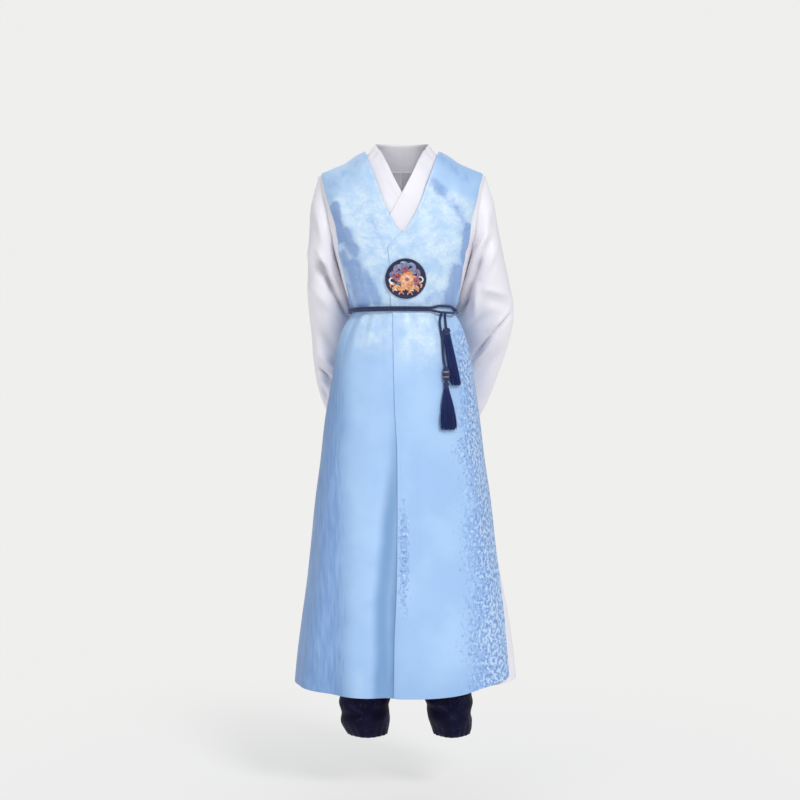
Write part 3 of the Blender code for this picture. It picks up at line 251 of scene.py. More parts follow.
# Soft creases of the body of the clothes: turn and level of each end, half width and height, in
# degrees and millimetres, and 1 where the crease starts at full height, as under the belt
CREASES = (
    (-72, -50, -50, -240, 18, -5, 0), (-58, -40, -40, -180, 12, 2.6, 0), (-80, -150, -52, -205, 9, -3, 0),
    (-33, -120, -38, -310, 14, 3, 0), (-66, -335, -58, -215, 9, -3, 1), (-50, -335, -47, -235, 7, 2.6, 1),
    (-37, -335, -30, -255, 6, -2.2, 1), (-22, -335, -20, -270, 6, 1.8, 1),
    (70, -60, 52, -190, 15, -4.2, 0), (46, -30, 34, -150, 13, 2.8, 0), (82, -170, 56, -230, 9, -3, 0),
    (62, -335, 52, -205, 9, -3.4, 1), (44, -335, 40, -245, 7, 2.6, 1), (30, -335, 33, -265, 6, -2, 1),
    (-58, -358, -64, -520, 10, -3.6, 1), (-45, -358, -50, -470, 7, 3, 1),
    (-38, -358, -36, -430, 5, -2.2, 1), (-30, -358, -32, -455, 5, 2.2, 1),
    (-22, -358, -20, -420, 4, -1.8, 1), (-14, -358, -13, -520, 6, 2, 1), (26, -358, 30, -560, 9, 3, 1),
    (37, -358, 40, -500, 6, -2.8, 1), (60, -358, 64, -600, 9, -3.6, 1), (72, -358, 76, -500, 7, 3, 1),
    (7, -358, 8, -470, 6, -1.6, 1), (16, -358, 17, -440, 5, 1.6, 1), (100, -130, 128, -215, 12, -3.4, 0),
    (142, -90, 160, -230, 18, 3.2, 0), (200, -100, 190, -250, 18, 3, 0),
    (262, -140, 232, -220, 12, -3.6, 0), (118, -335, 126, -230, 9, -3.4, 1),
    (134, -335, 138, -250, 7, 2.8, 1), (152, -335, 150, -240, 8, -3, 1),
    (168, -335, 170, -260, 7, 2.4, 1), (186, -335, 184, -245, 7, -2.8, 1),
    (204, -335, 208, -255, 8, 2.6, 1), (222, -335, 216, -235, 8, -3.2, 1),
    (240, -335, 236, -250, 7, 2.8, 1), (106, -358, 104, -520, 8, -3.4, 1),
    (122, -358, 124, -470, 6, 2.8, 1), (140, -358, 138, -500, 7, -3, 1),
    (158, -358, 158, -450, 6, 2.4, 1), (174, -358, 175, -520, 7, 3, 1), (192, -358, 192, -470, 6, 2.6, 1),
    (210, -358, 209, -510, 7, -3, 1), (228, -358, 226, -460, 6, 2.6, 1),
    (246, -358, 248, -540, 8, -3.2, 1), (-70, -820, -62, -1150, 12, -2.2, 0),
    (-52, -900, -50, -1190, 10, 2, 1), (30, -700, 31, -1100, 16, -1.8, 0),
    (12, -620, 12, -980, 10, 1.6, 0), (50, -650, 49, -1050, 9, 1.6, 0),
)

# Creases of the sleeves, in millimetres: across and up at each end, half width and height
SLEEVE_CREASES = {
    "right": {
        "front": (
            (-188, -213, -164, -256, 7.5, 8.5), (-164, -256, -135, -315, 6.5, 7.5),
            (-193, -232, -172, -270, 12, -19), (-172, -270, -148, -310, 9.5, -19),
            (-148, -310, -122, -356, 5.5, -11), (-208, -198, -204, -242, 9, 6),
            (-210, -285, -156, -340, 12, 5.5), (-194, -385, -150, -435, 17, -7.5),
            (-196, -436, -156, -470, 8, 6), (-199, -469, -160, -501, 4.2, -11),
            (-195, -487, -170, -515, 6, 5), (-206, -120, -190, -190, 10, -4.5),
            (-185, -515, -172, -550, 5, -6),
        ),
        "back": (
            (-208, -170, -160, -250, 10, -9), (-210, -240, -160, -320, 10, 7),
            (-210, -300, -150, -370, 8, -10), (-206, -370, -140, -420, 8, 7.5),
            (-200, -430, -130, -470, 8, -9), (-180, -510, -110, -510, 10, 5),
            (-150, -570, -90, -550, 8, -5.5),
        ),
    },
    "left": {
        "front": (
            (203.6, -178.9, 175.5, -223.9, 7.5, -8.5), (175.5, -223.9, 158.6, -268.9, 8.5, -13),
            (158.6, -268.9, 130.5, -342, 8, -12), (188, -175, 150, -255, 7, 6),
            (215, -195, 179, -270, 8, 6), (168, -290, 164, -350, 7, 6), (186, -297, 248, -308, 7, 4.5),
            (182, -318, 250, -330, 12, -5), (150, -315, 130, -342, 5, -7),
            (252, -346, 209.3, -392.6, 4, -9.5), (209.3, -392.6, 156, -456, 4.2, -11),
            (240, -344, 198, -388, 6, 6), (212, -402, 165, -460, 6, 6), (196, -350, 146, -385, 8, -5.5),
            (230, -430, 170, -490, 10, -4.5), (208, -120, 202, -170, 9, -4),
        ),
        "back": (
            (210, -160, 165, -245, 10, -9), (225, -230, 170, -315, 10, 7), (240, -300, 165, -365, 8, -10),
            (240, -370, 155, -415, 8, 7.5), (225, -430, 145, -465, 8, -9), (200, -520, 125, -510, 10, 5),
            (160, -580, 100, -560, 8, -5.5),
        ),
    },
}

# Where the front of the coat is painted a deeper blue, partly the brocade's plain satin and partly painted
# shade, as by the armholes, above the belt and below the left shoulder: across and up at each end and
# half width, in millimetres, and strength
FRONT_SHADES = (
    (-148, -85, -136, -177, 13, 1), (-126, -162, -104, -215, 17, 0.85),
    (-130, -215, -112, -260, 14, 0.75), (-106, -250, -85, -325, 22, 1), (-80, -270, -56, -325, 16, 0.8),
    (-130, -290, -115, -335, 13, 0.8), (70, -60, 115, -95, 20, 0.6), (45, -115, 80, -145, 10, 0.35),
    (145, -140, 138, -235, 13, 0.95), (122, -255, 103, -325, 17, 0.95), (90, -305, 55, -325, 12, 0.55),
    (-65, -150, -35, -220, 9, 0.35), (-25, -325, 40, -335, 8, 0.4), (115, -95, 135, -135, 12, 0.45),
    (-150, -15, -90, 10, 20, 0.35), (90, 10, 140, -15, 20, 0.35),
)
STREAKED_FROM = -0.124
PEBBLED_FROM = 0.098
# Shaded folds of the coat's sides and back: turn, half width in turn, highest and lowest level,
# strength
SIDE_AND_BACK_FOLDS = (
    (95, 14, -0.40, -1.40, 0.55), (265, 14, -0.40, -1.40, 0.50), (112, 20, -0.08, -0.30, 0.70),
    (250, 20, -0.08, -0.30, 0.70), (150, 8, -0.40, -1.40, 0.45), (183, 8, -0.40, -1.40, 0.45),
    (217, 8, -0.40, -1.40, 0.45),
)

FLOOR = -1.435
FLOOR_REACH = 60.0


# ---------------------------------------------------------------- the form under the clothes
def smooth(amount):
    """Eased from 0 to 1, and level past either end."""
    amount = np.clip(amount, 0.0, 1.0)
    return amount * amount * (3.0 - 2.0 * amount)


def read(table, column, level):
    """Smooth value of a column at each level; past either end it keeps the end row's value."""
    key = "curve " + column
    if key not in table:
        heights = table["rows"][::-1, 0]
        values = table["rows"][::-1, table["columns"].index(column)]
        steps = np.diff(values) / np.diff(heights)
        before, after = steps[:-1], steps[1:]
        turning = before * after <= 0.0
        inner = np.where(turning, 0.0, 2.0 * before * after / np.where(turning, 1.0, before + after))
        table[key] = heights, values, np.concatenate([steps[:1], inner, steps[-1:]])
    heights, values, slope = table[key]
    level = np.clip(level, heights[0], heights[-1])
    low = np.clip(np.searchsorted(heights, level, side="right") - 1, 0, len(heights) - 2)
    span = heights[low + 1] - heights[low]
    far = (level - heights[low]) / span
    near = 1.0 - far
    return (
        values[low] * near * near * (1.0 + 2.0 * far) + values[low + 1] * far * far * (1.0 + 2.0 * near)
        + span * far * near * (slope[low] * near - slope[low + 1] * far)
    )


def turn_from(turn, other):
    """Turn from another one, -180 to 180."""
    return (turn - other + 180.0) % 360.0 - 180.0


def from_line(x, z, x_a, z_a, x_b, z_b):
    """How far along the line from a to b each point lies, 0 to 1, and how far off the line."""
    run_x, run_z = x_b - x_a, z_b - z_a
    across, down = x - x_a, z - z_a
    part = np.clip((across * run_x + down * run_z) / (run_x * run_x + run_z * run_z), 0.0, 1.0)
    return part, np.hypot(across - run_x * part, down - run_z * part)


def drape(turn, level, half, deep):
    """How far the skirt's folds and the soft creases stand out."""
    height = np.zeros(np.shape(turn))
    for fold_turn, half_width, full, start in FOLDS["rows"]:
        away = np.abs(turn_from(turn, fold_turn)) / half_width
        growth = smooth((start - level) / (start - COAT_HEM) * 0.9)
        swell = full * growth * 0.5 * (1.0 + np.cos(np.pi * np.minimum(away, 1.0)))
        height += np.where((away < 1.0) & (level < start), swell, 0.0)
    reach = np.radians(1.0) * 0.5 * (half + deep)
    for turn_a, level_a, turn_b, level_b, width, full, rooted in CREASES:
        across, down = turn_from(turn, turn_a) * reach, level - level_a * MM
        run = (turn_b - turn_a) * reach, (level_b - level_a) * MM
        part, off = from_line(across, down, 0.0, 0.0, *run)
        away = off / (width * MM)
        fade = 1.0 - part**1.5 if rooted else np.sin(np.pi * part) ** 0.7
        height += np.where(away < 2.6, full * MM * fade * np.exp(-away * away), 0.0)
    belted = 1.0 - smooth((0.018 - np.abs(level - BELT)) / 0.010)
    return height * belted * smooth((0.012 - level) / 0.03)


def half_across(x, level):
    return np.where(x > 0.0, read(FORM, "left", level), read(FORM, "right", level))


def form(turn, level, folded=True):
    """Points on the inner face of the robe."""
    turn, level = np.broadcast_arrays(np.asarray(turn, float), np.asarray(level, float))
    across, along = np.sin(np.radians(turn)), np.cos(np.radians(turn))
    half = half_across(across, level)
    deep = np.where(along > 0.0, read(FORM, "front", level), read(FORM, "back", level))
    x = half * across
    y = -deep * along * (1.0 + read(FORM, "square", level) * across * across)
    if folded:
        out = 1.0 + drape(turn, level, half, deep) / np.maximum(np.hypot(x, y), 0.05)
        x, y = x * out, y * out
    slope = SHOULDER_SLOPE * np.clip((level - CHEST) / (SHOULDER_SEAM - CHEST), 0.0, 1.0)
    fall = slope * (np.hypot(x, CROWN_ROUNDING) - CROWN_ROUNDING * 0.5)
    return np.stack([x, y, level - fall], -1)


def unit(vectors):
    return vectors / np.maximum(np.linalg.norm(vectors, axis=-1, keepdims=True), 1e-12)


def form_normal(turn, level, folded=True):
    turn, level = np.broadcast_arrays(np.asarray(turn, float), np.asarray(level, float))
    step, drop = 0.4, 0.0015
    round_body = form(turn + step, level, folded) - form(turn - step, level, folded)
    up = form(turn, np.minimum(level + drop, SHOULDER_SEAM), folded) - form(turn, level - drop, folded)
    normal = unit(np.cross(round_body, up))
    side = np.where(np.sin(np.radians(turn)) < 0.0, -SHOULDER_SLOPE, SHOULDER_SLOPE)
    crown = unit(np.stack([side, np.zeros(side.shape), np.ones(side.shape)], -1))
    return np.where((level >= SHOULDER_SEAM - TINY)[..., None], crown, normal)


def turn_at(x, level):
    x = np.asarray(x, float)
    return np.degrees(np.arcsin(np.clip(x / half_across(x, level), -1.0, 1.0)))


def on_front(x, z, out):
    """Points out from the front of the form, at the given places across and up."""
    x, z, out = np.broadcast_arrays(np.asarray(x, float), np.asarray(z, float), np.asarray(out, float))
    level = z.copy()
    for _ in range(12):
        level = level + z - form(turn_at(x, level), level)[..., 2]
    turn = turn_at(x, level)
    return form(turn, level) + form_normal(turn, level) * out[..., None]


def over_lift(x):
    return (COAT_CLOTH + LAYER_GAP) * (1.0 - smooth((x - COAT_OVERLAP - 0.012) / 0.05))


def coat_offset(side, turn, level):
    """Inner face of the coat, out from the form."""
    x = form(turn, level)[..., 0]
    front = np.cos(np.radians(turn)) > 0.0
    out = ROBE_CLOTH + LAYER_GAP + SKIRT_EASE * smooth((BELT - 0.01 - level) / 0.75)
    edge = np.maximum(0.0, read(NECKLINE, "across", level))
    near_collar = 1.0 - smooth((np.abs(x) - edge - 0.010) / 0.045)
    above_belt = smooth((level - BELT - 0.01) / 0.09)
    nape = smooth((level + 0.10) / 0.05)
    crossing = 1.0 - smooth((np.abs(x) - 0.050) / 0.050)
    in_front = COLLAR_ROOM * np.maximum(near_collar, crossing) * above_belt
    in_front = in_front + COLLAR_ROOM * 0.5 * crossing * above_belt * smooth((-0.03 - level) / 0.03)
    in_front = in_front + NAPE_LIFT * near_collar * nape
    out = out + np.where(front, in_front, (COLLAR_ROOM + NAPE_LIFT) * near_collar * nape)
    return out + np.where(front & (side == "left"), over_lift(x), 0.0)


def coat_face(turn, level):
    return coat_offset("left", turn, level) + COAT_CLOTH


def over_coat(x, z, out):
    return on_front(x, z, coat_face(turn_at(x, z), z) + LAYER_GAP + out)


# ---------------------------------------------------------------- mesh and node helpers
def new_object(name, data):
    made = bpy.data.objects.new(name, data)
    bpy.context.scene.collection.objects.link(made)
    return made


def piece_from(name, points, faces, finish, uv, marks=None):
    """A smooth mesh object; uv is one pair for each point and marks are point attributes."""
    mesh = bpy.data.meshes.new(name)
    mesh.from_pydata(np.asarray(points, float).tolist(), [], faces)
    mesh.update()
    mesh.shade_smooth()
    corners = np.empty(len(mesh.loops), np.int32)
    mesh.loops.foreach_get("vertex_index", corners)
    layer = mesh.uv_layers.new(name="cloth")
    layer.data.foreach_set("uv", np.asarray(uv, np.float32)[corners].ravel())
    for mark, values in (marks or {}).items():
        attribute = mesh.attributes.new(mark, "FLOAT", "POINT")
        attribute.data.foreach_set("value", np.asarray(values, np.float32).ravel())
    mesh.materials.append(finish)
    return new_object(name, mesh)


def face_outwards(piece):
    work = bmesh.new()
    work.from_mesh(piece.data)
    bmesh.ops.remove_doubles(work, verts=work.verts, dist=1e-7)
    bmesh.ops.recalc_face_normals(work, faces=work.faces)
    work.to_mesh(piece.data)
    work.free()


def put(tree, kind, settings=None, **inputs):
    """Adds a node; an input given as a socket is linked, and any other is its value."""
    node = tree.nodes.new(kind)
    for key, value in (settings or {}).items():
        setattr(node, key, value)
    for key, value in inputs.items():
        socket = node.inputs[int(key[1:])] if key[1:].isdigit() else node.inputs[key.replace("_", " ")]
        if isinstance(value, bpy.types.NodeSocket):
            tree.links.new(value, socket)
        else:
            socket.default_value = value
    return node


def maths(tree, operation, *values):
    inputs = {f"i{number}": value for number, value in enumerate(values)}
    return put(tree, "ShaderNodeMath", {"operation": operation}, **inputs).outputs[0]


def times(tree, one, two):
    return maths(tree, "MULTIPLY", one, two)


def times_plus(tree, value, factor, added):
    return maths(tree, "MULTIPLY_ADD", value, factor, added)


def blend_colours(tree, amount, under, over):
    return put(tree, "ShaderNodeMix", {"data_type": "RGBA"}, i0=amount, i6=under, i7=over).outputs[2]


def step_up(tree, value, low, high):
    """0 below low, 1 above high, eased between."""
    eased = {"interpolation_type": "SMOOTHSTEP"}
    return put(tree, "ShaderNodeMapRange", eased, i0=value, i1=low, i2=high).outputs[0]


def tone(red, green, blue):
    """Linear colour from screen values out of 255."""
    made = [(c / 255 / 12.92 if c <= 10 else ((c / 255 + 0.055) / 1.055) ** 2.4) for c in (red, green, blue)]
    return (*made, 1.0)


def new_finish(name, **values):
    made = bpy.data.materials.new(name)
    made.use_nodes = True
    shader = made.node_tree.nodes["Principled BSDF"]
    for key, value in values.items():
        shader.inputs[key.replace("_", " ")].default_value = value
    return made, made.node_tree, shader


def cloth_place(tree):
    """Distances across and along the cloth."""
    return put(tree, "ShaderNodeUVMap", {"uv_map": "cloth"}).outputs[0]


def object_place(tree):
    return put(tree, "ShaderNodeTexCoord").outputs["Object"]


def mark_on(tree, name):
    return put(tree, "ShaderNodeAttribute", {"attribute_name": name}).outputs["Fac"]


def stretch(tree, vector, scale, turn=0.0):
    return put(tree, "ShaderNodeMapping", Vector=vector, Scale=scale, Rotation=(0.0, 0.0, turn)).outputs[0]


def noise(tree, vector, scale, detail=2.0, rough=0.5, warp=0.0):
    return put(tree, "ShaderNodeTexNoise", Vector=vector, Scale=scale, Detail=detail, Roughness=rough,
               Distortion=warp).outputs[0]


def pushed_about(tree, cloth, scale, reach):
    """Places on the cloth shifted unevenly, so that no figure has a straight edge."""
    field = put(tree, "ShaderNodeTexNoise", Vector=cloth, Scale=scale).outputs[1]
    return put(tree, "ShaderNodeVectorMath", {"operation": "MULTIPLY_ADD"},
               i0=field, i1=(reach, reach, 0.0), i2=cloth).outputs[0]


def threads(tree, vector, direction, scale, bend, detail=2.0):
    """Parallel threads, 0 to 1 across each."""
    return put(tree, "ShaderNodeTexWave", {"bands_direction": direction}, Vector=vector, Scale=scale,
               Distortion=bend, Detail=detail).outputs[1]


def blossoms(tree, vector, scale, low, high):
    """Rounded figures with soft edges."""
    cells = put(tree, "ShaderNodeTexVoronoi", {"feature": "SMOOTH_F1"}, Vector=vector, Scale=scale,
                Smoothness=0.4, Randomness=1.0).outputs["Distance"]
    return maths(tree, "SUBTRACT", 1.0, step_up(tree, cells, low, high))


def between_veins(tree, vector, scale, high):
    """1 inside each cell of a net, and 0 along its veins."""
    cells = put(tree, "ShaderNodeTexVoronoi", {"feature": "DISTANCE_TO_EDGE"}, Vector=vector, Scale=scale,
                Randomness=1.0).outputs["Distance"]
    return step_up(tree, cells, 0.03, high)


def paint(tree, shader, colour, roughness=None):
    tree.links.new(colour, shader.inputs["Base Color"])
    if roughness is not None:
        tree.links.new(roughness, shader.inputs["Roughness"])


def relief(tree, shader, height, distance, strength, under=None):
    bump = put(tree, "ShaderNodeBump", Strength=strength, Distance=distance, Height=height)
    if under is not None:
        tree.links.new(under, bump.inputs["Normal"])
    tree.links.new(bump.outputs[0], shader.inputs["Normal"])
    return bump.outputs[0]


# ---------------------------------------------------------------- finishes
def satin_weave(tree, cloth, pitch=0.9 * MM):
    """Fine crossing threads of a satin, 0 to 1."""
    across = threads(tree, cloth, "X", 0.314 / pitch, 0.6, 1.0)
    along = threads(tree, cloth, "Y", 0.314 / (pitch * 2.4), 1.2, 1.0)
    return times_plus(tree, across, 0.6, times(tree, along, 0.4))


def specks(tree, cloth, scale, share, soft, detail=2.0, warp=0.0):
    """Irregular woven specks that cover about the given share of the cloth."""
    grain = noise(tree, cloth, scale, detail, 0.55, warp)
    level = times_plus(tree, share, 0.56, 0.18)
    return step_up(tree, maths(tree, "SUBTRACT", level, grain), -soft, soft)


def brocade_finish():
    """Pale blue satin brocade: a paler mottled figure, a pebbled ground and streaks along the grain.

    The marks of coat_marks say where each lies; the deeper satin is partly painted shade, and shade is
    painted smoothly into the folds, and the hem is darker.
    """
    made, tree, shader = new_finish(
        "pale blue brocade", Roughness=0.42, IOR=1.5, Sheen_Weight=0.10, Sheen_Roughness=0.45,
        Sheen_Tint=(0.80, 0.90, 1.0, 1.0), Specular_IOR_Level=0.45,
    )
    cloth = cloth_place(tree)
    pale, pebble, streak, shade, fold_shade = (mark_on(tree, mark) for mark in COAT_MARKS)
    warped = pushed_about(tree, cloth, 38.0, 0.020)

    # Deeper satin, partly the plain satin ground and partly painted shade, with ragged brushed edges
    brushed = noise(tree, stretch(tree, warped, (1.0, 0.75, 1.0), 0.5), 46.0, 6.0, 0.70, 0.5)
    deep_satin_and_shade = step_up(tree, maths(tree, "ADD", shade, times_plus(tree, brushed, 0.9, -0.45)), 0.14, 0.74)

    # The paler figure: soft clouds, veined blossoms and light flecks
    cloudy = step_up(tree, noise(tree, cloth, 30.0, 6.0, 0.72, 0.3), 0.34, 0.62)
    open_cloth = times_plus(tree, deep_satin_and_shade, -0.78, 1.0)
    open_pale = times(tree, step_up(tree, pale, 0.05, 0.75), open_cloth)
    clouds = times(tree, open_pale, times_plus(tree, cloudy, 0.70, 0.30))
    veined = times(tree, blossoms(tree, warped, 60.0, 0.22, 0.50), between_veins(tree, warped, 135.0, 0.15))
    figure = times(tree, veined, clouds)
    flecks = specks(tree, warped, 190.0, times(tree, clouds, 0.45), 0.08)
    dim = specks(tree, warped, 85.0, times(tree, pale, 0.34), 0.10)

    # The pebbled ground, denser towards the side
    pebbles = specks(tree, stretch(tree, cloth, (1.0, 0.66, 1.0)), 130.0, pebble, 0.08, 4.0)
    deep = specks(tree, stretch(tree, cloth, (1.0, 0.70, 1.0)), 210.0, times(tree, pebble, 0.64), 0.08, 3.0)
    light = specks(tree, stretch(tree, cloth, (1.0, 0.64, 1.3)), 175.0, times(tree, pebble, 0.60), 0.08, 3.0)

    # Streaks along the grain
    slanted = stretch(tree, cloth, (1.0, 0.055, 1.0), 0.12)
    lines = specks(tree, slanted, 330.0, times(tree, streak, 0.66), 0.10, 2.0, 0.1)
    smears = specks(tree, stretch(tree, cloth, (1.0, 0.12, 1.0), 0.12), 120.0, times(tree, streak, 0.5), 0.14)

    ground = step_up(tree, noise(tree, cloth, 7.0, 3.0, 0.55), 0.36, 0.68)
    colour = blend_colours(tree, ground, tone(157, 192, 235), tone(168, 202, 241))
    # The deeper satin's blue is partly painted shade; the tone (110, 150, 196) is painted shade in the folds,
    # on the sides turned from the light and over the streaked side, and also darkens the hem
    for amount, strength, dye in (
        (deep_satin_and_shade, 0.92, (120, 153, 208)), (clouds, 0.84, (207, 228, 243)), (figure, 0.30, (226, 239, 245)),
        (flecks, 0.34, (234, 244, 247)), (dim, 0.35, (164, 199, 236)), (fold_shade, 0.90, (110, 150, 196)),
        (pebbles, 0.50, (118, 154, 212)), (deep, 0.54, (74, 107, 173)), (light, 0.68, (204, 226, 247)),
        (lines, 0.40, (98, 130, 198)), (smears, 0.26, (162, 194, 238)),
    ):
        colour = blend_colours(tree, times(tree, amount, strength), colour, tone(*dye))
    gloss = times_plus(tree, figure, 0.12, times_plus(tree, pebbles, 0.16, 0.40))
    paint(tree, shader, colour, gloss)
    fine = relief(tree, shader, satin_weave(tree, cloth), 0.05 * MM, 0.5)
    raised = times_plus(tree, figure, 0.6, times_plus(tree, pebbles, -0.8, times(tree, lines, -0.5)))
    relief(tree, shader, raised, 0.30 * MM, 0.8, fine)
    return made


def robe_finish():
    """White satin with a faint tonal cloud weave, shaded in the hollows of its creases."""
    made, tree, shader = new_finish(
        "white robe satin", Roughness=0.46, IOR=1.5, Sheen_Weight=0.18, Sheen_Roughness=0.4,
        Specular_IOR_Level=0.42,
    )
    cloth = cloth_place(tree)
    clouds = step_up(tree, noise(tree, cloth, 16.0, 3.0, 0.55, 1.2), 0.46, 0.60)
    colour = blend_colours(tree, noise(tree, cloth, 5.0), tone(225, 222, 231), tone(238, 236, 242))
    colour = blend_colours(tree, times(tree, clouds, 0.25), colour, tone(242, 242, 249))
    # Painted shade in the hollows of the sleeves' creases
    colour = blend_colours(tree, times(tree, mark_on(tree, "crease_shade"), 0.70), colour, tone(184, 179, 190))
    paint(tree, shader, colour, times_plus(tree, clouds, 0.08, 0.43))
    fine = relief(tree, shader, satin_weave(tree, cloth, 0.8 * MM), 0.04 * MM, 0.5)
    soft = noise(tree, stretch(tree, cloth, (1.0, 0.4, 1.0)), 42.0, 3.0, 0.5, 0.4)
    relief(tree, shader, soft, 0.7 * MM, 0.35, fine)
    return made


def trouser_finish():
    """Very dark navy satin with a faint sheen of woven blossoms."""
    made, tree, shader = new_finish("dark navy trouser cloth", Roughness=0.58, Specular_IOR_Level=0.10)
    cloth = cloth_place(tree)
    warped = pushed_about(tree, cloth, 30.0, 0.03)
    figure = times(tree, blossoms(tree, warped, 38.0, 0.26, 0.60), between_veins(tree, warped, 120.0, 0.22))
    colour = blend_colours(tree, noise(tree, cloth, 14.0, 3.0), tone(4, 4, 27), tone(13, 12, 47))
    colour = blend_colours(tree, times(tree, figure, 0.50), colour, tone(52, 45, 98))
    paint(tree, shader, colour, times_plus(tree, figure, -0.16, 0.58))
    fine = relief(tree, shader, satin_weave(tree, cloth, 1.0 * MM), 0.06 * MM, 0.6)
    soft = noise(tree, stretch(tree, cloth, (1.0, 2.2, 1.0)), 30.0, 3.0, 0.6, 0.6)
    relief(tree, shader, soft, 1.5 * MM, 0.6, fine)
    return made


def braid_finish():
    """Twisted navy thread: each strand has its own slanting filaments."""
    made, tree, shader = new_finish(
        "navy braided cord", Roughness=0.56, Sheen_Weight=0.3, Sheen_Roughness=0.5, Sheen_Tint=NAVY_SHEEN,
        Specular_IOR_Level=0.4,
    )
    cloth = cloth_place(tree)
    filaments = threads(tree, cloth, "DIAGONAL", 90.0, 1.5)
    mottled = times(tree, filaments, noise(tree, cloth, 320.0))
    paint(tree, shader, blend_colours(tree, mottled, tone(14, 22, 62), tone(48, 64, 122)))
    relief(tree, shader, filaments, 0.15 * MM, 0.7)
    return made


def strand_finish():
    """Loose silk strands, each a slightly different navy."""
    made, tree, shader = new_finish(
        "navy tassel silk", Roughness=0.50, Sheen_Weight=0.15, Sheen_Roughness=0.4, Sheen_Tint=NAVY_SHEEN,
        Specular_IOR_Level=0.3,
    )
    streaks = noise(tree, stretch(tree, object_place(tree), (1.0, 1.0, 0.05)), 900.0)
    paint(tree, shader, blend_colours(tree, streaks, tone(9, 18, 62), tone(32, 54, 124)))
    relief(tree, shader, streaks, 0.2 * MM, 0.5)
    return made


def silk_finish(name, deep, pale, rough=0.45):
    """Silk shaded from deep to pale, with the stitches running across each piece."""
    made, tree, shader = new_finish(name, Roughness=rough, Sheen_Weight=0.15, Specular_IOR_Level=0.4)
    laid = threads(tree, cloth_place(tree), "X", 420.0, 2.5)
    shading = step_up(tree, noise(tree, object_place(tree), 150.0, 3.0, 0.6, 0.6), 0.34, 0.66)
    mixed = times_plus(tree, laid, 0.30, times(tree, shading, 0.70))
    paint(tree, shader, blend_colours(tree, mixed, tone(*deep), tone(*pale)))
    relief(tree, shader, laid, 0.15 * MM, 0.6)
    return made


def sewing_thread(name, colour):
    return new_finish(name, Base_Color=colour, Roughness=0.5)[0]


COAT_MARKS = ("pale", "pebble", "streak", "shade", "fold_shade")
NAVY_SHEEN = (0.5, 0.6, 1.0, 1.0)
BROCADE = brocade_finish()
ROBE_SATIN = robe_finish()
BRAID = braid_finish()
STRANDS = strand_finish()
TROUSERS = trouser_finish()
NAVY_DISC = silk_finish("navy badge ground", (16, 18, 52), (40, 44, 86), 0.55)
APRICOT_SILK = silk_finish("apricot silk", (176, 92, 62), (248, 184, 128))
PEACH_SILK = silk_finish("peach silk", (206, 140, 104), (252, 216, 176))
ROSE_SILK = silk_finish("rose silk", (112, 48, 78), (196, 122, 132))
MAUVE_SILK = silk_finish("mauve silk", (96, 72, 118), (176, 148, 176))
MIST_SILK = silk_finish("grey blue silk", (70, 86, 132), (150, 168, 200))
WHITE_SILK = silk_finish("white silk", (206, 206, 214), (250, 248, 248))
BLUE_THREAD = sewing_thread("blue sewing thread", tone(152, 190, 236))
WHITE_THREAD = sewing_thread("white sewing thread", tone(230, 230, 240))
GOLD_THREAD = new_finish(
    "pale gold wrapped thread", Base_Color=tone(226, 214, 190), Metallic=0.85, Roughness=0.34,
)[0]

STUDIO = tone(239, 239, 238)
# Soft suns: which way each shines, its strength and how wide it looks
SUNS = (
    ("key", (-0.36, 0.74, -0.56), 1.62, 16.0), ("fill", (0.62, 0.74, -0.20), 0.62, 60.0),
    ("back", (0.15, -0.85, -0.60), 0.50, 60.0),
)

# What each layer of panels is made of, and its mesh spacing across and down
LAYERS = {
    "coat": {
        "weave": "brocade", "finish": BROCADE, "slot": "coat_brocade", "cloth": COAT_CLOTH, "hem": COAT_HEM,
        "across": 4.6 * MM, "down": 6.8 * MM, "thread": "blue",
    },
    "robe": {
        "weave": "satin", "finish": ROBE_SATIN, "slot": "robe_satin", "cloth": ROBE_CLOTH, "hem": ROBE_HEM,
        "across": 7.0 * MM, "down": 9.0 * MM, "thread": "white",
    },
}
# Lines of stitching, gathered from each piece for the thread of its colour
stitched = {"blue": [], "white": [], "navy": []}


# ---------------------------------------------------------------- cloth walls
def spaced(total, pitch_count, near=True, far=True):
    """Distances across a width, close together at each hemmed edge."""
    start = EDGE if near else EDGE[:1]
    end = total - (EDGE if far else EDGE[:1])[::-1]
    middle = np.linspace(start[-1], end[0], pitch_count + 2)[1:-1]
    return np.concatenate([start, middle, end])


def rim(grid, depth=0):
    """The points round a grid, or their neighbours the given number of steps further in."""
    first, last = depth, -1 - depth
    return np.concatenate([grid[first, :-1], grid[:-1, last], grid[last, :0:-1], grid[:0:-1, first]])


def two_skins(grid, ahead, skin):
    """Faces of an outer skin, and of an inner one whose points come the given count later."""
    a, b, c, d = grid[:-1], grid[1:], ahead[1:], ahead[:-1]
    return [np.stack([a, b, c, d], -1).reshape(-1, 4), np.stack([a, d, c, b], -1).reshape(-1, 4) + skin]


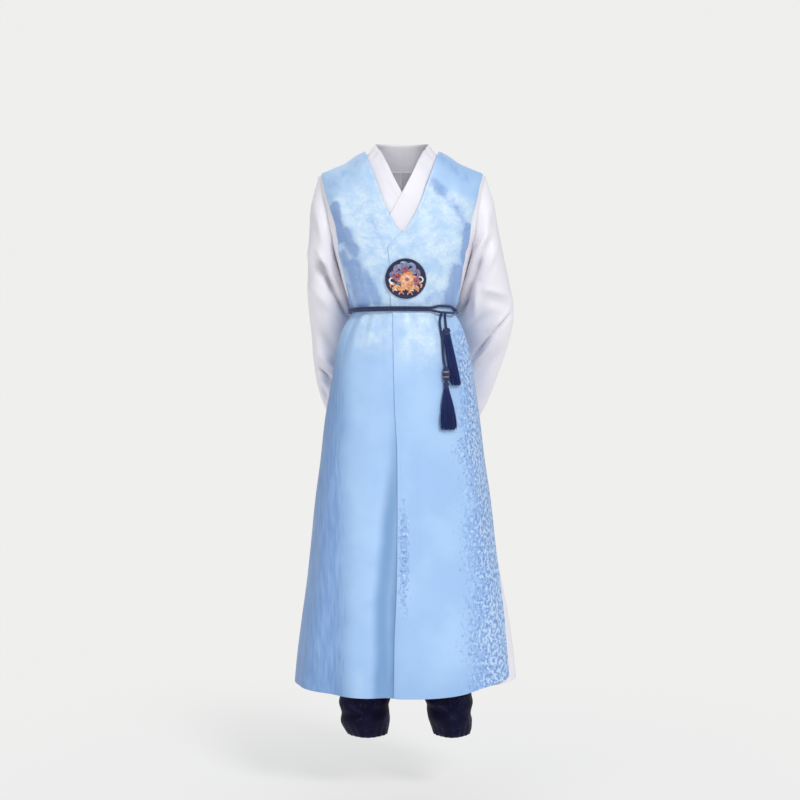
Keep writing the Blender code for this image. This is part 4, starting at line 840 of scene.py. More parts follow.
def wall(name, outer, inner, finish, uv, closed=False, marks=None):
    """Closed wall of cloth between two grids, with rounded edges."""
    rows, columns = outer.shape[:2]
    skin = rows * columns
    grid = np.arange(skin).reshape(rows, columns)
    if closed:
        faces = two_skins(grid, np.roll(grid, -1, 1), skin)
        edges = [(grid[0], grid[1]), (grid[-1][::-1], grid[-2][::-1])]
    else:
        faces = two_skins(grid[:, :-1], grid[:, 1:], skin)
        edges = [(rim(grid), rim(grid, 1))]
    points = [outer.reshape(-1, 3), inner.reshape(-1, 3)]
    carried = {"uv": uv.reshape(-1, 2)}
    carried.update((mark, amount.ravel()) for mark, amount in (marks or {}).items())
    parts = {key: [values, values] for key, values in carried.items()}
    count = 2 * skin
    for edge, within in edges:
        away = unit(points[0][edge] - points[0][within])
        thick = np.linalg.norm(points[0][edge] - points[1][edge], axis=-1, keepdims=True)
        points.append((points[0][edge] + points[1][edge]) / 2.0 + away * thick * 0.45)
        mids = count + np.arange(len(edge))
        count += len(edge)
        after, mids_after = np.roll(edge, -1), np.roll(mids, -1)
        faces.append(np.stack([edge, after, mids_after, mids], -1))
        faces.append(np.stack([mids, mids_after, after + skin, edge + skin], -1))
        for key, values in carried.items():
            parts[key].append(values[edge])
    joined = {key: np.concatenate(part) for key, part in parts.items()}
    place = joined.pop("uv")
    return piece_from(name, np.concatenate(points), np.concatenate(faces).tolist(), finish, place, joined)


def lengths(points, axis):
    """Distance along each row or column, from its first point."""
    steps = np.linalg.norm(np.diff(points, axis=axis), axis=-1)
    zero = np.zeros_like(np.take(steps, [0], axis))
    return np.concatenate([zero, np.cumsum(steps, axis=axis)], axis)


def joined_round(grid):
    return np.concatenate([grid, grid[:, :1]], 1)


def flat_cut(grid):
    """Width, length and area of a piece of cloth before it was hung."""
    width = lengths(grid, 1)[:, -1].max()
    length = lengths(grid, 0)[-1].max()
    along, down = grid[:-1, 1:] - grid[:-1, :-1], grid[1:, :-1] - grid[:-1, :-1]
    area = np.linalg.norm(np.cross(along, down), axis=-1).sum()
    return (float(width), float(length)), float(min(area, width * length))


def sheet(grid):
    flat, area = flat_cut(grid)


def dress(piece, slot, *nodes):
    """Rides a piece on the body, in place of the solids named; the slot is not used."""
    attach(piece, ROOT)
    if nodes:
        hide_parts(*nodes)


# ---------------------------------------------------------------- coat and robe panels
def rows_down(bottom, pitch, turn):
    """Levels evenly spaced along the cloth, close together at the top and at the hem."""
    fine = np.linspace(0.0, 1.0, 1600) ** 1.6
    fine = SHOULDER_SEAM + (bottom - SHOULDER_SEAM) * fine
    along = lengths(form(turn, fine, False), 0)
    total = along[-1]
    return np.interp(spaced(total, int(total / pitch)), along, fine)


def spread_turns(levels, start, end, pitch, near, far, cut):
    """Turns of a panel's columns at each level, evenly spaced along the cloth."""
    turns = start[:, None] + (end - start)[:, None] * np.linspace(0.0, 1.0, 160)
    along = lengths(form(turns, cut(turns, np.broadcast_to(levels[:, None], turns.shape))), 1)
    count = int(along[:, -1].max() / pitch)
    distance = np.array([spaced(row[-1], count, near, far) for row in along])
    return np.array([np.interp(*row) for row in zip(distance, along, turns)]), distance


def welt(distance, along):
    """A turned and stitched edge: a little proud, with a row of stitches sunk in it."""
    hem = WELT_RISE * (1.0 - smooth((distance - WELT_WIDTH) / (1.4 * MM)))
    sunk = np.exp(-((distance - STITCH_LINE) / (0.9 * MM)) ** 2)
    return hem - 0.30 * MM * sunk * (1.0 + 0.5 * np.sin(along * 2.0 * np.pi / (6.5 * MM)))


def hem_cut(layer, turn, level):
    """Level of a point, raised where the hem is cut to curve up towards the side."""
    across = np.sin(np.radians(turn))
    right, left = HEM_RISE[layer]
    rise = np.where(across > 0.0, left, right) * np.abs(across) ** 3
    return level + rise * smooth((level - HEM_RISE_START) / (COAT_HEM - HEM_RISE_START))


def coat_side(side, level):
    """Turn of the coat's side edge: its armhole, and below that its slit."""
    armhole = np.abs(turn_at(read(COAT_ARMHOLE, side, level) * SIGN[side], level))
    return np.where(level < ARMHOLE_FOOT + TINY, read(SLIT, side, level), armhole)


def robe_side(level):
    """Turn of the robe's side edge, with its round armhole."""
    away = (level - ARMHOLE_MIDDLE) / ARMHOLE_HALF
    return 89.9 - ARMHOLE_TURN * np.sqrt(np.clip(1.0 - away * away, 0.0, None))


def coat_front_edge(side, level):
    """Turn of a coat front's edge, down the neck and the opening; the left one lies over the right."""
    neck = read(NECKLINE, "across", level)
    if side == "left":
        below = read(LEFT_FRONT_EDGE, "across", level)
        return turn_at(np.where(level > NECKLINE["rows"][-1, 0] + TINY, neck, below), level)
    lap = np.clip((V_POINT - level) / 0.030, 0.0, 1.0) * COAT_OVERLAP
    return turn_at(np.where(level > V_POINT, -neck, lap), level)


def robe_front_edge(side, level):
    """Turn of a robe front's edge, a little inside the coat's neckline."""
    inset = ROBE_NECK_INSET * smooth((level - V_POINT) / 0.03)
    across = np.maximum(SEAM_GAP / 2.0, read(NECKLINE, "across", level) - inset)
    return turn_at(SIGN[side] * across, level)


def back_neck(turn, level):
    """Level of a back's point, lowered where the neck is cut out."""
    across = np.abs(form(turn, level, False)[..., 0]) / NECK
    cut = BACK_NECK_DROP * np.sqrt(np.clip(1.0 - across * across, 0.0, None))
    return level - cut * smooth((level + 0.10) / (SHOULDER_SEAM + 0.10))


def wander(level, reach, phase):
    """Uneven sideways drift of a zone's border down the cloth."""
    return reach * (0.55 * np.sin(level * 31.0 + phase) + 0.3 * np.sin(level * 74.0 + 2.0 * phase)
                    + 0.15 * np.sin(level * 160.0 + 3.0 * phase))


def coat_marks(turns, level, points, side):
    """Where the brocade is pale, pebbled or streaked, where its satin is deeper blue and partly in painted
    shade, and where shade is painted into the folds.
    """
    x = points[..., 0]
    front = np.cos(np.radians(turns)) > 0.0
    side_on = np.abs(turn_from(turns, 0.0))
    below = smooth((-0.375 - level) / 0.10)

    def rows(high, low, soft):
        return smooth((high - level) / soft + 0.5) * smooth((level - low) / soft + 0.5)

    def zone(turn, half_turn, high, low, soft):
        away = np.abs(turn_from(turns, turn)) / half_turn
        return np.exp(-away**4) * rows(high, low, soft)

    pale = zone(0, 66, -0.080, -0.345, 0.08) + 0.45 * zone(0, 80, 0.10, -0.100, 0.08)
    pale = pale + 0.55 * zone(-32, 19, -0.350, -0.440, 0.08) + 0.62 * zone(15, 28, -0.345, -0.470, 0.14)
    pale = pale * (1.0 - 0.65 * front * smooth((x - 0.055) / 0.03) * smooth((level + 0.080) / 0.03))
    pale = pale + zone(180, 62, -0.080, -0.340, 0.12) + 0.35 * zone(180, 40, -0.350, -0.440, 0.08)

    # Deeper blue satin on the front, partly painted shade
    shade = np.zeros_like(x)
    for x_a, z_a, x_b, z_b, half, strength in FRONT_SHADES:
        away = from_line(x, level, x_a * MM, z_a * MM, x_b * MM, z_b * MM)[1] / (half * MM)
        shade = np.maximum(shade, np.where(front, strength * np.exp(-(away**2)), 0.0))

    streaked = smooth((STREAKED_FROM + wander(level, 0.006, 1.0) + 0.026 - x) / 0.056)
    streaked = np.where(front, streaked, 0.0) * below
    # Painted shade over the streaked side of the right front, turned away from the key light
    fold_shade = 0.80 * streaked
    if side == "right":
        # Painted shade in the trough beside the front edge, under the lapping left front
        border = -0.008 - 0.050 * smooth((-0.45 - level) / 0.60) + wander(level, 0.002, 4.0)
        trough = smooth((x - border + 0.014) / 0.026) * smooth((-0.42 - level) / 0.40)
        trough = trough * (1.0 - 0.30 * np.exp(-(((x - border - 0.030) / 0.007) ** 2)))
        fold_shade = fold_shade + 0.96 * np.where(front, trough, 0.0)
        # A painted highlight on a crease near the hem of the right front
        pale = pale + 0.32 * np.exp(-(((x + 0.095) / 0.018) ** 2)) * rows(-1.125, -1.230, 0.05) * front
    # Darker towards the hem
    fold_shade = fold_shade + 0.30 * smooth((-1.080 - level) / 0.11)
    # Painted shade where the left front turns round towards its side
    fold_shade = fold_shade + 0.22 * np.where(front, smooth((x - 0.140 + wander(level, 0.012, 2.0)) / 0.06), 0.0) * below
    for turn, half_turn, high, low, strength in SIDE_AND_BACK_FOLDS:
        fold_shade = fold_shade + strength * zone(turn, half_turn, high, low, 0.08)

    reach = x - PEBBLED_FROM + wander(level, 0.012, 3.0)
    reach = np.clip(reach / (0.045 + 0.050 * smooth((-0.45 - level) / 0.50)), 0.0, 1.0)
    pebbled = 0.95 * reach**0.9 * smooth((-0.345 - level) / 0.03)
    if side == "left":
        pebbled = pebbled + 0.75 * np.exp(-((x - 0.004) / 0.016) ** 2) * rows(-0.760, -1.020, 0.20)
    behind = 0.8 * np.exp(-np.abs((side_on - 112.0) / 26.0) ** 3) * smooth((-0.400 - level) / 0.2)
    pebbled = np.where(front, pebbled, behind)
    streaked = streaked + np.where(front, 0.0, zone(250, 24, -0.4, -1.40, 0.1))
    amounts = (pale, pebbled, streaked, shade, fold_shade)
    return {mark: np.clip(amount, 0.0, 1.0) for mark, amount in zip(COAT_MARKS, amounts)}


def panel(layer, face, side):
    """A front or a back of the coat or the robe, from its centre edge round to its side."""
    make = LAYERS[layer]
    coat, front = layer == "coat", face == "front"
    centre_first = front == (side == "left")
    levels = rows_down(make["hem"], make["down"], 35.0 if front else 145.0)

    def cut(turn, level):
        return hem_cut(layer, turn, level if front else back_neck(turn, level))

    outside = coat_side(side, levels) if coat else robe_side(levels)
    if front:
        centre = (coat_front_edge if coat else robe_front_edge)(side, levels)
        outside = SIGN[side] * outside
    else:
        centre = 180.0 - SIGN[side] * turn_at(np.full(levels.shape, SEAM_GAP / 2.0), levels)
        outside = 180.0 - SIGN[side] * outside
    start, end = (centre, outside) if centre_first else (outside, centre)
    # which of the start, end and bottom edges are turned and stitched
    hems = (coat and (front or not centre_first), coat and (front or centre_first), True)

    turns, distance = spread_turns(levels, start, end, make["across"], hems[0], hems[1], cut)
    at = cut(turns, np.broadcast_to(levels[:, None], turns.shape))
    normal = form_normal(turns, at)
    out = coat_offset(side if front else "back", turns, at) if coat else np.zeros(turns.shape)
    inner = form(turns, at) + normal * out[..., None]
    crown = (levels[:, None] >= SHOULDER_SEAM - TINY) & (at >= SHOULDER_SEAM - TINY)
    inner[..., 1] += np.where(crown, (-0.5 if front else 0.5) * SEAM_GAP, 0.0)
    down, total = lengths(inner, 0), distance[:, -1:]
    raised = np.zeros(turns.shape)
    edges = ((distance, down), (total - distance, down), (down[-1] - down, distance))
    for hemmed, (from_edge, along) in zip(hems, edges):
        if hemmed:
            raised = np.maximum(raised, welt(from_edge, along))
    outer = inner + normal * (make["cloth"] + raised)[..., None]

    uv = np.stack([distance if centre_first else distance - total, at], -1)
    marks = coat_marks(turns, at, inner, side) if coat else None
    piece = wall(f"{make['weave']}_{face}_{side}", outer, inner, make["finish"], uv, marks=marks)
    solids = ("top", "skirt") if coat or front else ("top", "skirt_upper", "skirt_lower")
    dress(piece, make["slot"], *(f"{layer}_{face}_{solid}_{side}" for solid in solids))
    sheet(outer)

    lines = (outer[3:-3, STITCH_COLUMN], outer[3:-3, -1 - STITCH_COLUMN], outer[-1 - STITCH_COLUMN, 3:-3])
    stitched[make["thread"]] += [line for hemmed, line in zip(hems, lines) if hemmed]


# ---------------------------------------------------------------- curves, sleeves and collar
def curve_through(points, steps):
    """Smooth curve through rows of points, with the given steps between each two."""
    points = np.asarray(points, float)
    ends = np.concatenate([2.0 * points[:1] - points[1:2], points, 2.0 * points[-1:] - points[-2:-1]])
    made = []
    for i in range(len(points) - 1):
        before, near, far, after = ends[i:i + 4]
        for step in range(steps):
            part = step / steps
            made.append(
                near + (far - before) * (0.5 * part)
                + (before * 2.0 - near * 5.0 + far * 4.0 - after) * (0.5 * part**2)
                + (near * 3.0 - before - far * 3.0 + after) * (0.5 * part**3)
            )
    return np.array([*made, points[-1]])


def run_of(points, axis):
    """From the neighbour before each point to the one after it, along its row or column."""
    points = np.swapaxes(points, 0, axis)
    made = np.concatenate([points[1:2] - points[:1], points[2:] - points[:-2], points[-1:] - points[-2:-1]])
    return np.swapaxes(made, 0, axis)


def ring_normals(rings):
    return unit(np.cross(run_of(rings, 0), np.roll(rings, -1, 1) - np.roll(rings, 1, 1)))


def round_angles(count):
    return 2.0 * np.pi * np.arange(count) / count


def sleeve_root(side, angle):
    """The sleeve's first ring, on the robe's armhole."""
    sign = SIGN[side]
    level = ARMHOLE_MIDDLE + ARMHOLE_HALF * np.cos(angle)
    rear = angle > np.pi
    turn = robe_side(level)
    turn = np.where(rear, 180.0 - turn, turn) * sign
    ease = unit(form(turn + np.where(rear, -0.5, 0.5) * sign, level) - form(turn, level))
    ease[np.abs(np.sin(angle)) < TINY] = (sign, 0.0, 0.0)
    return form(turn, level) + ease * SEAM_GAP + form_normal(turn, level) * ROBE_CLOTH


def sleeve_creases(side, rings, normals):
    """How far the sleeve's creases stand out, each on the front or on the back."""
    height = np.zeros(rings.shape[:2])
    for face, outwards in (("front", -1.0), ("back", 1.0)):
        facing = smooth((normals[..., 1] * outwards + 0.15) / 0.5)
        for x_a, z_a, x_b, z_b, width, full in SLEEVE_CREASES[side][face]:
            part, off = from_line(rings[..., 0], rings[..., 2], x_a * MM, z_a * MM, x_b * MM, z_b * MM)
            swell = np.exp(-(off / (width * MM)) ** 2) * (0.35 + 0.65 * np.sin(np.pi * part))
            height += full * MM * facing * swell
    return height


def sleeve(side):
    """A wide sleeve from the armhole down behind the back, open at the cuff."""
    sign = SIGN[side]
    angle = round_angles(120)
    rows = [sleeve_root(side, angle)]
    for outer_x, outer_z, inner_x, inner_z, back, half_depth in SLEEVES[side]["rows"]:
        beside_coat = smooth((-0.150 - inner_z) / 0.04) * smooth((inner_z + 0.420) / 0.06)
        inner_x = inner_x - SLEEVE_CLOSER * beside_coat
        middle = np.array([(outer_x + inner_x) / 2.0 * sign, back, (outer_z + inner_z) / 2.0])
        half = np.array([(outer_x - inner_x) / 2.0 * sign, 0.0, (outer_z - inner_z) / 2.0])
        deep = np.array([0.0, half_depth, 0.0])
        rows.append(middle + half * np.cos(angle)[:, None] - deep * np.sin(angle)[:, None])
    rings = curve_through(rows, 11)
    if side == "left":
        rings = np.concatenate([rings[:, :1], rings[:, :0:-1]], 1)
    normals = ring_normals(rings)
    height = sleeve_creases(side, rings, normals) * smooth((np.arange(len(rings)) - 2) / 9.0)[:, None]
    down = lengths(rings, 0)
    cuff = down[-1:] - down
    height += WELT_RISE * (1.0 - smooth((cuff - CUFF_WIDTH) / (1.5 * MM)))
    outer = rings + normals * height[..., None]
    inner = rings + normals * (height - ROBE_CLOTH)[..., None]
    uv = np.stack([lengths(joined_round(rings), 1)[:, :-1], down], -1)
    # Painted shade where a crease sinks in, read by the robe satin's colour
    marks = {"crease_shade": smooth((-height - 0.0015) / 0.0125)}
    piece = wall(f"satin_sleeve_{side}", outer, inner, ROBE_SATIN, uv, closed=True, marks=marks)
    dress(piece, "robe_satin", f"robe_sleeve_upper_{side}", f"robe_sleeve_lower_{side}")
    sheet(joined_round(outer))
    hem_row = int(np.argmin(np.abs(cuff[:, 0] - CUFF_STITCHES)))
    stitched["white"].append(joined_round(outer)[hem_row])


def collar_half(side):
    """Four lines along half of the collar band, from its outer edge to its top."""
    sign = SIGN[side]
    on_robe = ROBE_CLOTH + LAYER_GAP
    lines = [[] for _ in range(4)]

    def round_neck(angle, reach):
        across = (NECK + reach) * math.sin(math.radians(angle))
        level = SHOULDER_SEAM - (BACK_NECK_DROP + reach) * math.cos(math.radians(angle))
        turn = 180.0 * sign - turn_at(across * sign, level)
        return form(turn, level) + form_normal(turn, level) * (on_robe + NAPE_EASE)

    def stand_up(low, bend, top_x, top_y, top_z):
        lines[0].append(low)
        for i in range(1, 4):
            lines[i].append(bend + (np.array((top_x * sign, top_y, top_z)) - bend) * (i - 1) / 2.0)

    for angle, *top in COLLAR_NECK:
        stand_up(round_neck(angle, COLLAR_UNDER_COAT), round_neck(angle, COLLAR_BEND), *top)
    for low_x, low_z, bend_x, bend_z, *top in COLLAR_SHOULDER:
        low = on_front(low_x * sign, low_z, on_robe + NAPE_EASE)
        stand_up(low, on_front(bend_x * sign, bend_z, on_robe + NAPE_EASE), *top)
    for number, (low_x, low_z, top_x, top_z) in enumerate(COLLAR_FRONT):
        out = on_robe
        if side == "left":
            out += (COLLAR_CLOTH + LAYER_GAP) * float(smooth((number - 1) / 2.0))
        for i, line in enumerate(lines):
            x, z = low_x + (top_x - low_x) * i / 3.0, low_z + (top_z - low_z) * i / 3.0
            line.append(on_front(x * sign, z, out))
    return [curve_through(line, 10) for line in lines]


def collar():
    """The collar band, crossed left over right, with a white strip along its top."""
    halves = zip(collar_half("left"), collar_half("right"))
    lines = np.array([np.concatenate([near[::-1], far[1:]]) for near, far in halves])[::-1]
    inner = curve_through(lines, 6)
    normal = unit(np.cross(run_of(inner, 0), run_of(inner, 1)))
    across = lengths(inner, 0)
    roll = 2.2 * MM
    rolled = 0.5 * MM * np.exp(-((across / roll) ** 2))
    rolled = rolled + 0.4 * MM * np.exp(-(((across[-1:] - across) / roll) ** 2))
    strip = 0.7 * MM * (1.0 - smooth((across - COLLAR_STRIP) / (1.2 * MM)))
    outer = inner + normal * (COLLAR_CLOTH * 0.7 + rolled + strip)[..., None]
    piece = wall("satin_collar", outer, inner, ROBE_SATIN, np.stack([lengths(inner, 1), across], -1))
    dress(piece, "robe_satin", "robe_collar")
    sheet(outer)
    stitched["white"].append(outer[-3, 2:-2])


# ---------------------------------------------------------------- trousers
def hip_point(turn, level, deeper):
    """Points of the trousers round the hips, inside the form of the robe."""
    part = smooth((BELT - level) / (BELT - CROTCH))
    inset = np.broadcast_to(WAIST_GAP + HIP_INSET * part + deeper, np.shape(level + 0.0 * turn))
    point = form(turn, level, False) - form_normal(turn, level, False) * inset[..., None]
    point[..., 2] = level
    return point


def hip_ring(name, node, top, bottom, gathers, rows):
    turn = round_angles(96) * 180.0 / np.pi
    level = np.linspace(top, bottom, rows)[:, None] + 0.0 * turn
    pleat = gathers * 0.5 * (1.0 + np.cos(np.radians(turn * 16.0))) * smooth((level - bottom) / 0.05)
    outer = hip_point(turn + 0.0 * level, level, pleat)
    inner = hip_point(turn + 0.0 * level, level, pleat + TROUSER_CLOTH)
    piece = wall(name, outer, inner, TROUSERS, np.stack([lengths(outer, 1), level], -1), closed=True)
    dress(piece, "trouser_cloth", node)
    sheet(joined_round(outer))


def leg_wave(turn, level, sign):
    """Gathers and soft rolls where the leg is drawn in at the ankle, and long folds down it."""
    gathered = smooth((GATHER_START - level) / (GATHER_START - ANKLE))
    wave = gathered * GATHER_HEIGHT * np.cos(np.radians(GATHERS * turn))
    crimped = gathered * 1.1 * MM * np.cos(np.radians(17 * turn + 40.0 * sign))
    wave = wave + crimped * smooth((ANKLE + 0.045 - level) / 0.03)
    for at, width, height, tilt, phase in ANKLE_ROLLS:
        away = (level - at - tilt * np.cos(np.radians(turn + phase * sign))) / width
        wave = wave + height * np.exp(-(away**2)) * (0.65 + 0.35 * np.cos(np.radians(2 * turn + phase)))
    for at, width, height in LEG_FOLDS:
        away = turn_from(turn, at * sign) / width
        hanging = smooth((-0.60 - level) / 0.2) * smooth((level + 1.20) / 0.1)
        wave = wave + height * np.exp(-(away**2)) * hanging
    return wave


def leg(side):
    """A trouser leg that goes over from half of the hips to a round, gathered ankle."""
    sign = SIGN[side]
    levels = np.linspace(LEG_TOP, ANKLE, 150)
    turn = 360.0 * np.arange(84) / 84
    across, along = np.sin(np.radians(turn)), np.cos(np.radians(turn))
    level = levels[:, None] + 0.0 * turn
    wave = leg_wave(turn, level, sign)
    middle, half_width = read(LEG, f"{side}_x", level), read(LEG, f"{side}_half", level)
    deep = read(LEG, "half_depth", level) + wave
    round_point = np.stack([
        middle + (half_width + wave) * across, read(LEG, "back", level) - deep * along, level,
    ], -1)
    front, rear = hip_point(np.array([0.0, 180.0]), np.array([CROTCH, CROTCH]), 0.0)[:, 1]
    half_point = hip_point(turn, np.full(turn.shape, CROTCH), 0.0)
    inside = across * sign <= 0.01
    half_point[inside, 1] = (front + rear) / 2.0 - along[inside] * (rear - front) / 2.0
    half_point[:, 0] = sign * np.where(inside, SEAM_GAP, np.maximum(np.abs(half_point[:, 0]), SEAM_GAP))
    half_grid = np.broadcast_to(half_point, round_point.shape).copy()
    half_grid[..., 2] = level
    rings = half_grid + (round_point - half_grid) * read(LEG, "round", level)[..., None]
    inner = rings - ring_normals(rings) * TROUSER_CLOTH
    inner[..., 2] = level
    uv = np.stack([lengths(rings, 1), level], -1)
    piece = wall(f"navy_leg_{side}", rings, inner, TROUSERS, uv, closed=True)
    dress(piece, "trouser_cloth", f"trouser_leg_upper_{side}", f"trouser_leg_lower_{side}")
    sheet(joined_round(rings))
    stitched["navy"].append(joined_round(rings)[-5])


# ---------------------------------------------------------------- cords, belt and tassels
def tube(name, rings, u, v, finish, closed=False):
    """A tube through rings of points, capped at both ends unless it runs back into itself."""
    count, sides = rings.shape[:2]
    index = np.arange(count * sides).reshape(count, sides)
    here, ahead = (index, np.roll(index, -1, 0)) if closed else (index[:-1], index[1:])
    faces = np.stack([here, np.roll(here, -1, 1), np.roll(ahead, -1, 1), ahead], -1).reshape(-1, 4).tolist()
    if not closed:
        faces += [index[0][::-1].tolist(), index[-1].tolist()]
    uv = np.stack(np.broadcast_arrays(u, v), -1).reshape(-1, 2)
    made = piece_from(name, rings.reshape(-1, 3), faces, finish, uv)
    face_outwards(made)
    return made


def crossed(angle, wind, count):
    """Two sets of strands that cross over each other round a cord, 0 to 1."""
    return np.maximum(np.abs(np.cos(count * angle + wind)), np.abs(np.cos(count * angle - wind)))


def braided(name, path, closed):
    """A round braid along a path."""
    tangent = np.roll(path, -1, 0) - np.roll(path, 1, 0) if closed else np.gradient(path, axis=0)
    tangent = unit(tangent)
    out = unit(np.cross(tangent, (0.0, 0.0, 1.0) if closed else (0.0, -1.0, 0.0)))
    up = np.cross(out, tangent)
    along = lengths(np.concatenate([path, path[:1]]) if closed else path, 0)
    total = along[-1]
    along = along[:len(path), None]
    angle = 2.0 * np.pi * (np.arange(20) + 0.5) / 20
    turns = round(total / BRAID_TURN) if closed else total / BRAID_TURN
    wind = 2.0 * np.pi * along / total * turns
    radius = CORD_RADIUS * (0.88 + 0.15 * crossed(angle, wind * 2.0, 3.0))
    spokes = out[:, None] * np.cos(angle)[:, None] + up[:, None] * np.sin(angle)[:, None]
    return tube(name, path[:, None] + spokes * radius[..., None], along, angle * CORD_RADIUS, BRAID, closed)


def belt_cord(which):
    """One of the belt's two cords, which part at the eye that the hanging cords come through."""
    sign = 1.0 if which == "upper" else -1.0
    turns = np.linspace(0.0, 360.0, 900, endpoint=False)
    opened = smooth((1.0 - np.abs(turns - EYE_TURN) / EYE_HALF_TURN) / (1.0 - EYE_FLAT))
    out = coat_face(turns, BELT) + LAYER_GAP + CORD_RADIUS
    if which == "lower":
        out = out + (2.0 * CORD_RADIUS + LAYER_GAP) * opened
    normal = form_normal(turns, BELT, False)
    normal[:, 2] = 0.0
    path = form(turns, BELT, False) + unit(normal) * out[:, None]
    path[:, 2] = BELT + sign * (CORD_RADIUS + SEAM_GAP / 2.0 + EYE_OPENING * opened)
    dress(braided(f"belt_braid_{which}", path, True), "navy_cord", f"belt_cord_{which}")


def hanging_cord(length, route):
    """A cord that hangs from the belt and runs on through what is threaded on it."""
    across, level, out = np.array(route).T
    path = curve_through(over_coat(across, level, out), 24)
    piece = braided(f"{length}_cord", path, False)
    dress(piece, "navy_cord", f"tassel_cord_{length}")
    float(lengths(path, 0)[-1])


def line_mesh(name, lines):
    """Bare edges along each line, for a node tree to follow."""
    points, edges = [], []
    for line in lines:
        start = len(points)
        points += [tuple(point) for point in np.asarray(line).tolist()]
        edges += [(start + i, start + i + 1) for i in range(len(line) - 1)]
    mesh = bpy.data.meshes.new(name)
    mesh.from_pydata(points, edges, [])
    return new_object(name, mesh)


def new_tree(name, **inputs):
    tree = bpy.data.node_groups.new(name, "GeometryNodeTree")
    for way in ("INPUT", "OUTPUT"):
        tree.interface.new_socket("Geometry", in_out=way, socket_type="NodeSocketGeometry")
    for label, kind in inputs.items():
        tree.interface.new_socket(label.replace("_", " "), in_out="INPUT", socket_type="NodeSocket" + kind)
    given = tree.nodes.new("NodeGroupInput").outputs
    return tree, given, put(tree, "GeometryNodeMeshToCurve", Mesh=given["Geometry"]).outputs[0]


def end_tree(tree, geometry, material):
    """Makes the geometry real, smooth and of its own material."""
    real = put(tree, "GeometryNodeRealizeInstances", Geometry=geometry).outputs[0]
    soft = put(tree, "GeometryNodeSetShadeSmooth", Geometry=real).outputs[0]
    last = put(tree, "GeometryNodeSetMaterial", Geometry=soft, Material=material).outputs[0]
    tree.links.new(last, tree.nodes.new("NodeGroupOutput").inputs[0])
    return tree


def stitch_tree():
    """Short rounded stitches laid end to end along each line."""
    tree, given, curve = new_tree(
        "rows of stitches", Pitch="Float", Stitch_length="Float", Thread_radius="Float", Thread="Material",
    )
    spots = put(tree, "GeometryNodeCurveToPoints", {"mode": "LENGTH"}, Curve=curve, Length=given["Pitch"])
    spots = spots.outputs
    ball = put(tree, "GeometryNodeMeshUVSphere", Segments=6, Rings=3, Radius=1.0).outputs["Mesh"]
    turn = put(tree, "FunctionNodeAlignEulerToVector", {"axis": "X"}, Vector=spots["Tangent"]).outputs[0]
    radius = given["Thread radius"]
    size = put(tree, "ShaderNodeCombineXYZ", X=times(tree, given["Stitch length"], 0.5), Y=radius, Z=radius)
    rows = put(tree, "GeometryNodeInstanceOnPoints", Points=spots["Points"], Instance=ball, Rotation=turn,
               Scale=size.outputs[0])
    return end_tree(tree, rows.outputs[0], given["Thread"])


def strand_tree():
    """Round strands along each line, thinner at the tip."""
    tree, given, curve = new_tree("silk strands", Strand_radius="Float", Silk="Material")
    part = put(tree, "GeometryNodeSplineParameter").outputs["Factor"]
    radius = times(tree, given["Strand radius"], times_plus(tree, part, -0.3, 1.0))
    ring = put(tree, "GeometryNodeCurvePrimitiveCircle", Resolution=4, Radius=1.0).outputs[0]
    solid = put(tree, "GeometryNodeCurveToMesh", Curve=curve, Profile_Curve=ring, Scale=radius,
                Fill_Caps=True)
    return end_tree(tree, solid.outputs[0], given["Silk"])


def grow(piece, tree, **values):
    """Runs a node tree on a piece and keeps its result as a plain mesh."""
    modifier = piece.modifiers.new(tree.name, "NODES")
    modifier.node_group = tree
    for item in tree.interface.items_tree:
        label = item.name.replace(" ", "_").lower()
        if item.in_out == "INPUT" and label in values:
            modifier[item.identifier] = values[label]
    shown = bpy.context.evaluated_depsgraph_get()
    shown.update()
    grown = piece.evaluated_get(shown)
    mesh = bpy.data.meshes.new_from_object(grown, preserve_all_data_layers=True, depsgraph=shown)
    piece.modifiers.remove(modifier)
    piece.data = mesh
    mesh.name = piece.name


def tassel(name):
    """A bound head and a skirt of fine strands, some a little short or stray."""
    top_x, top_z, end_x, end_z, head, radius, half_width, half_depth = TASSELS[name]
    length = top_z - end_z

    def place(down, across, deep):
        part = down / length
        body = radius + (half_depth - radius) * np.maximum(0.0, part - head / length)
        return over_coat(top_x + (end_x - top_x) * part + across, top_z - down, body + deep + 2.0 * SEAM_GAP)

    down = np.linspace(0.0, head + 0.5 * MM, 46)[:, None]
    shape = np.interp(down / head, *TASSEL_HEAD)
    angle = round_angles(40)
    wraps = 0.05 * np.abs(np.sin(down / (1.0 * MM) * np.pi))
    net = 0.05 * crossed(angle, down / head * 9.0, 6.0)
    size = radius * (shape * 0.96 + np.where(down / head > 0.62, wraps, net))
    rings = place(down, np.cos(angle) * size, np.sin(angle) * size)
    crown = tube(f"{name}_head", rings, down, angle * radius, BRAID)
    dress(crown, "navy_cord", name)

    spread = np.sqrt(rng.uniform(0.02, 1.0, STRANDS_EACH))
    where = rng.uniform(0.0, 2.0 * np.pi, STRANDS_EACH)[:, None]
    cut = rng.uniform(0.93, 1.0, STRANDS_EACH) * length * 0.985
    sway = rng.normal(0.0, 0.5 * MM, (STRANDS_EACH, 2))
    part = np.linspace(0.0, 1.0, 9)
    swell = np.sin(np.pi / 2.0 * part)
    root = radius * 0.72 * spread
    grow_x = root[:, None] + (half_width * spread * 0.97 - root)[:, None] * swell
    grow_y = root[:, None] + (half_depth * spread * 0.93 - root)[:, None] * swell
    across = grow_x * np.cos(where) + sway[:, :1] * np.sin(np.pi * part * 1.5 + where)
    deep = grow_y * np.sin(where) + sway[:, 1:] * np.sin(np.pi * part * 2.0) * 0.6
    down = head * 0.92 + (cut - head * 0.92)[:, None] * part
    loose = line_mesh(f"{name}_strands", place(down, across, np.maximum(deep, -half_depth)))
    grow(loose, STRAND_TREE, strand_radius=0.62 * MM, silk=STRANDS)
    dress(loose, "navy_cord", name)
    return [crown, loose]


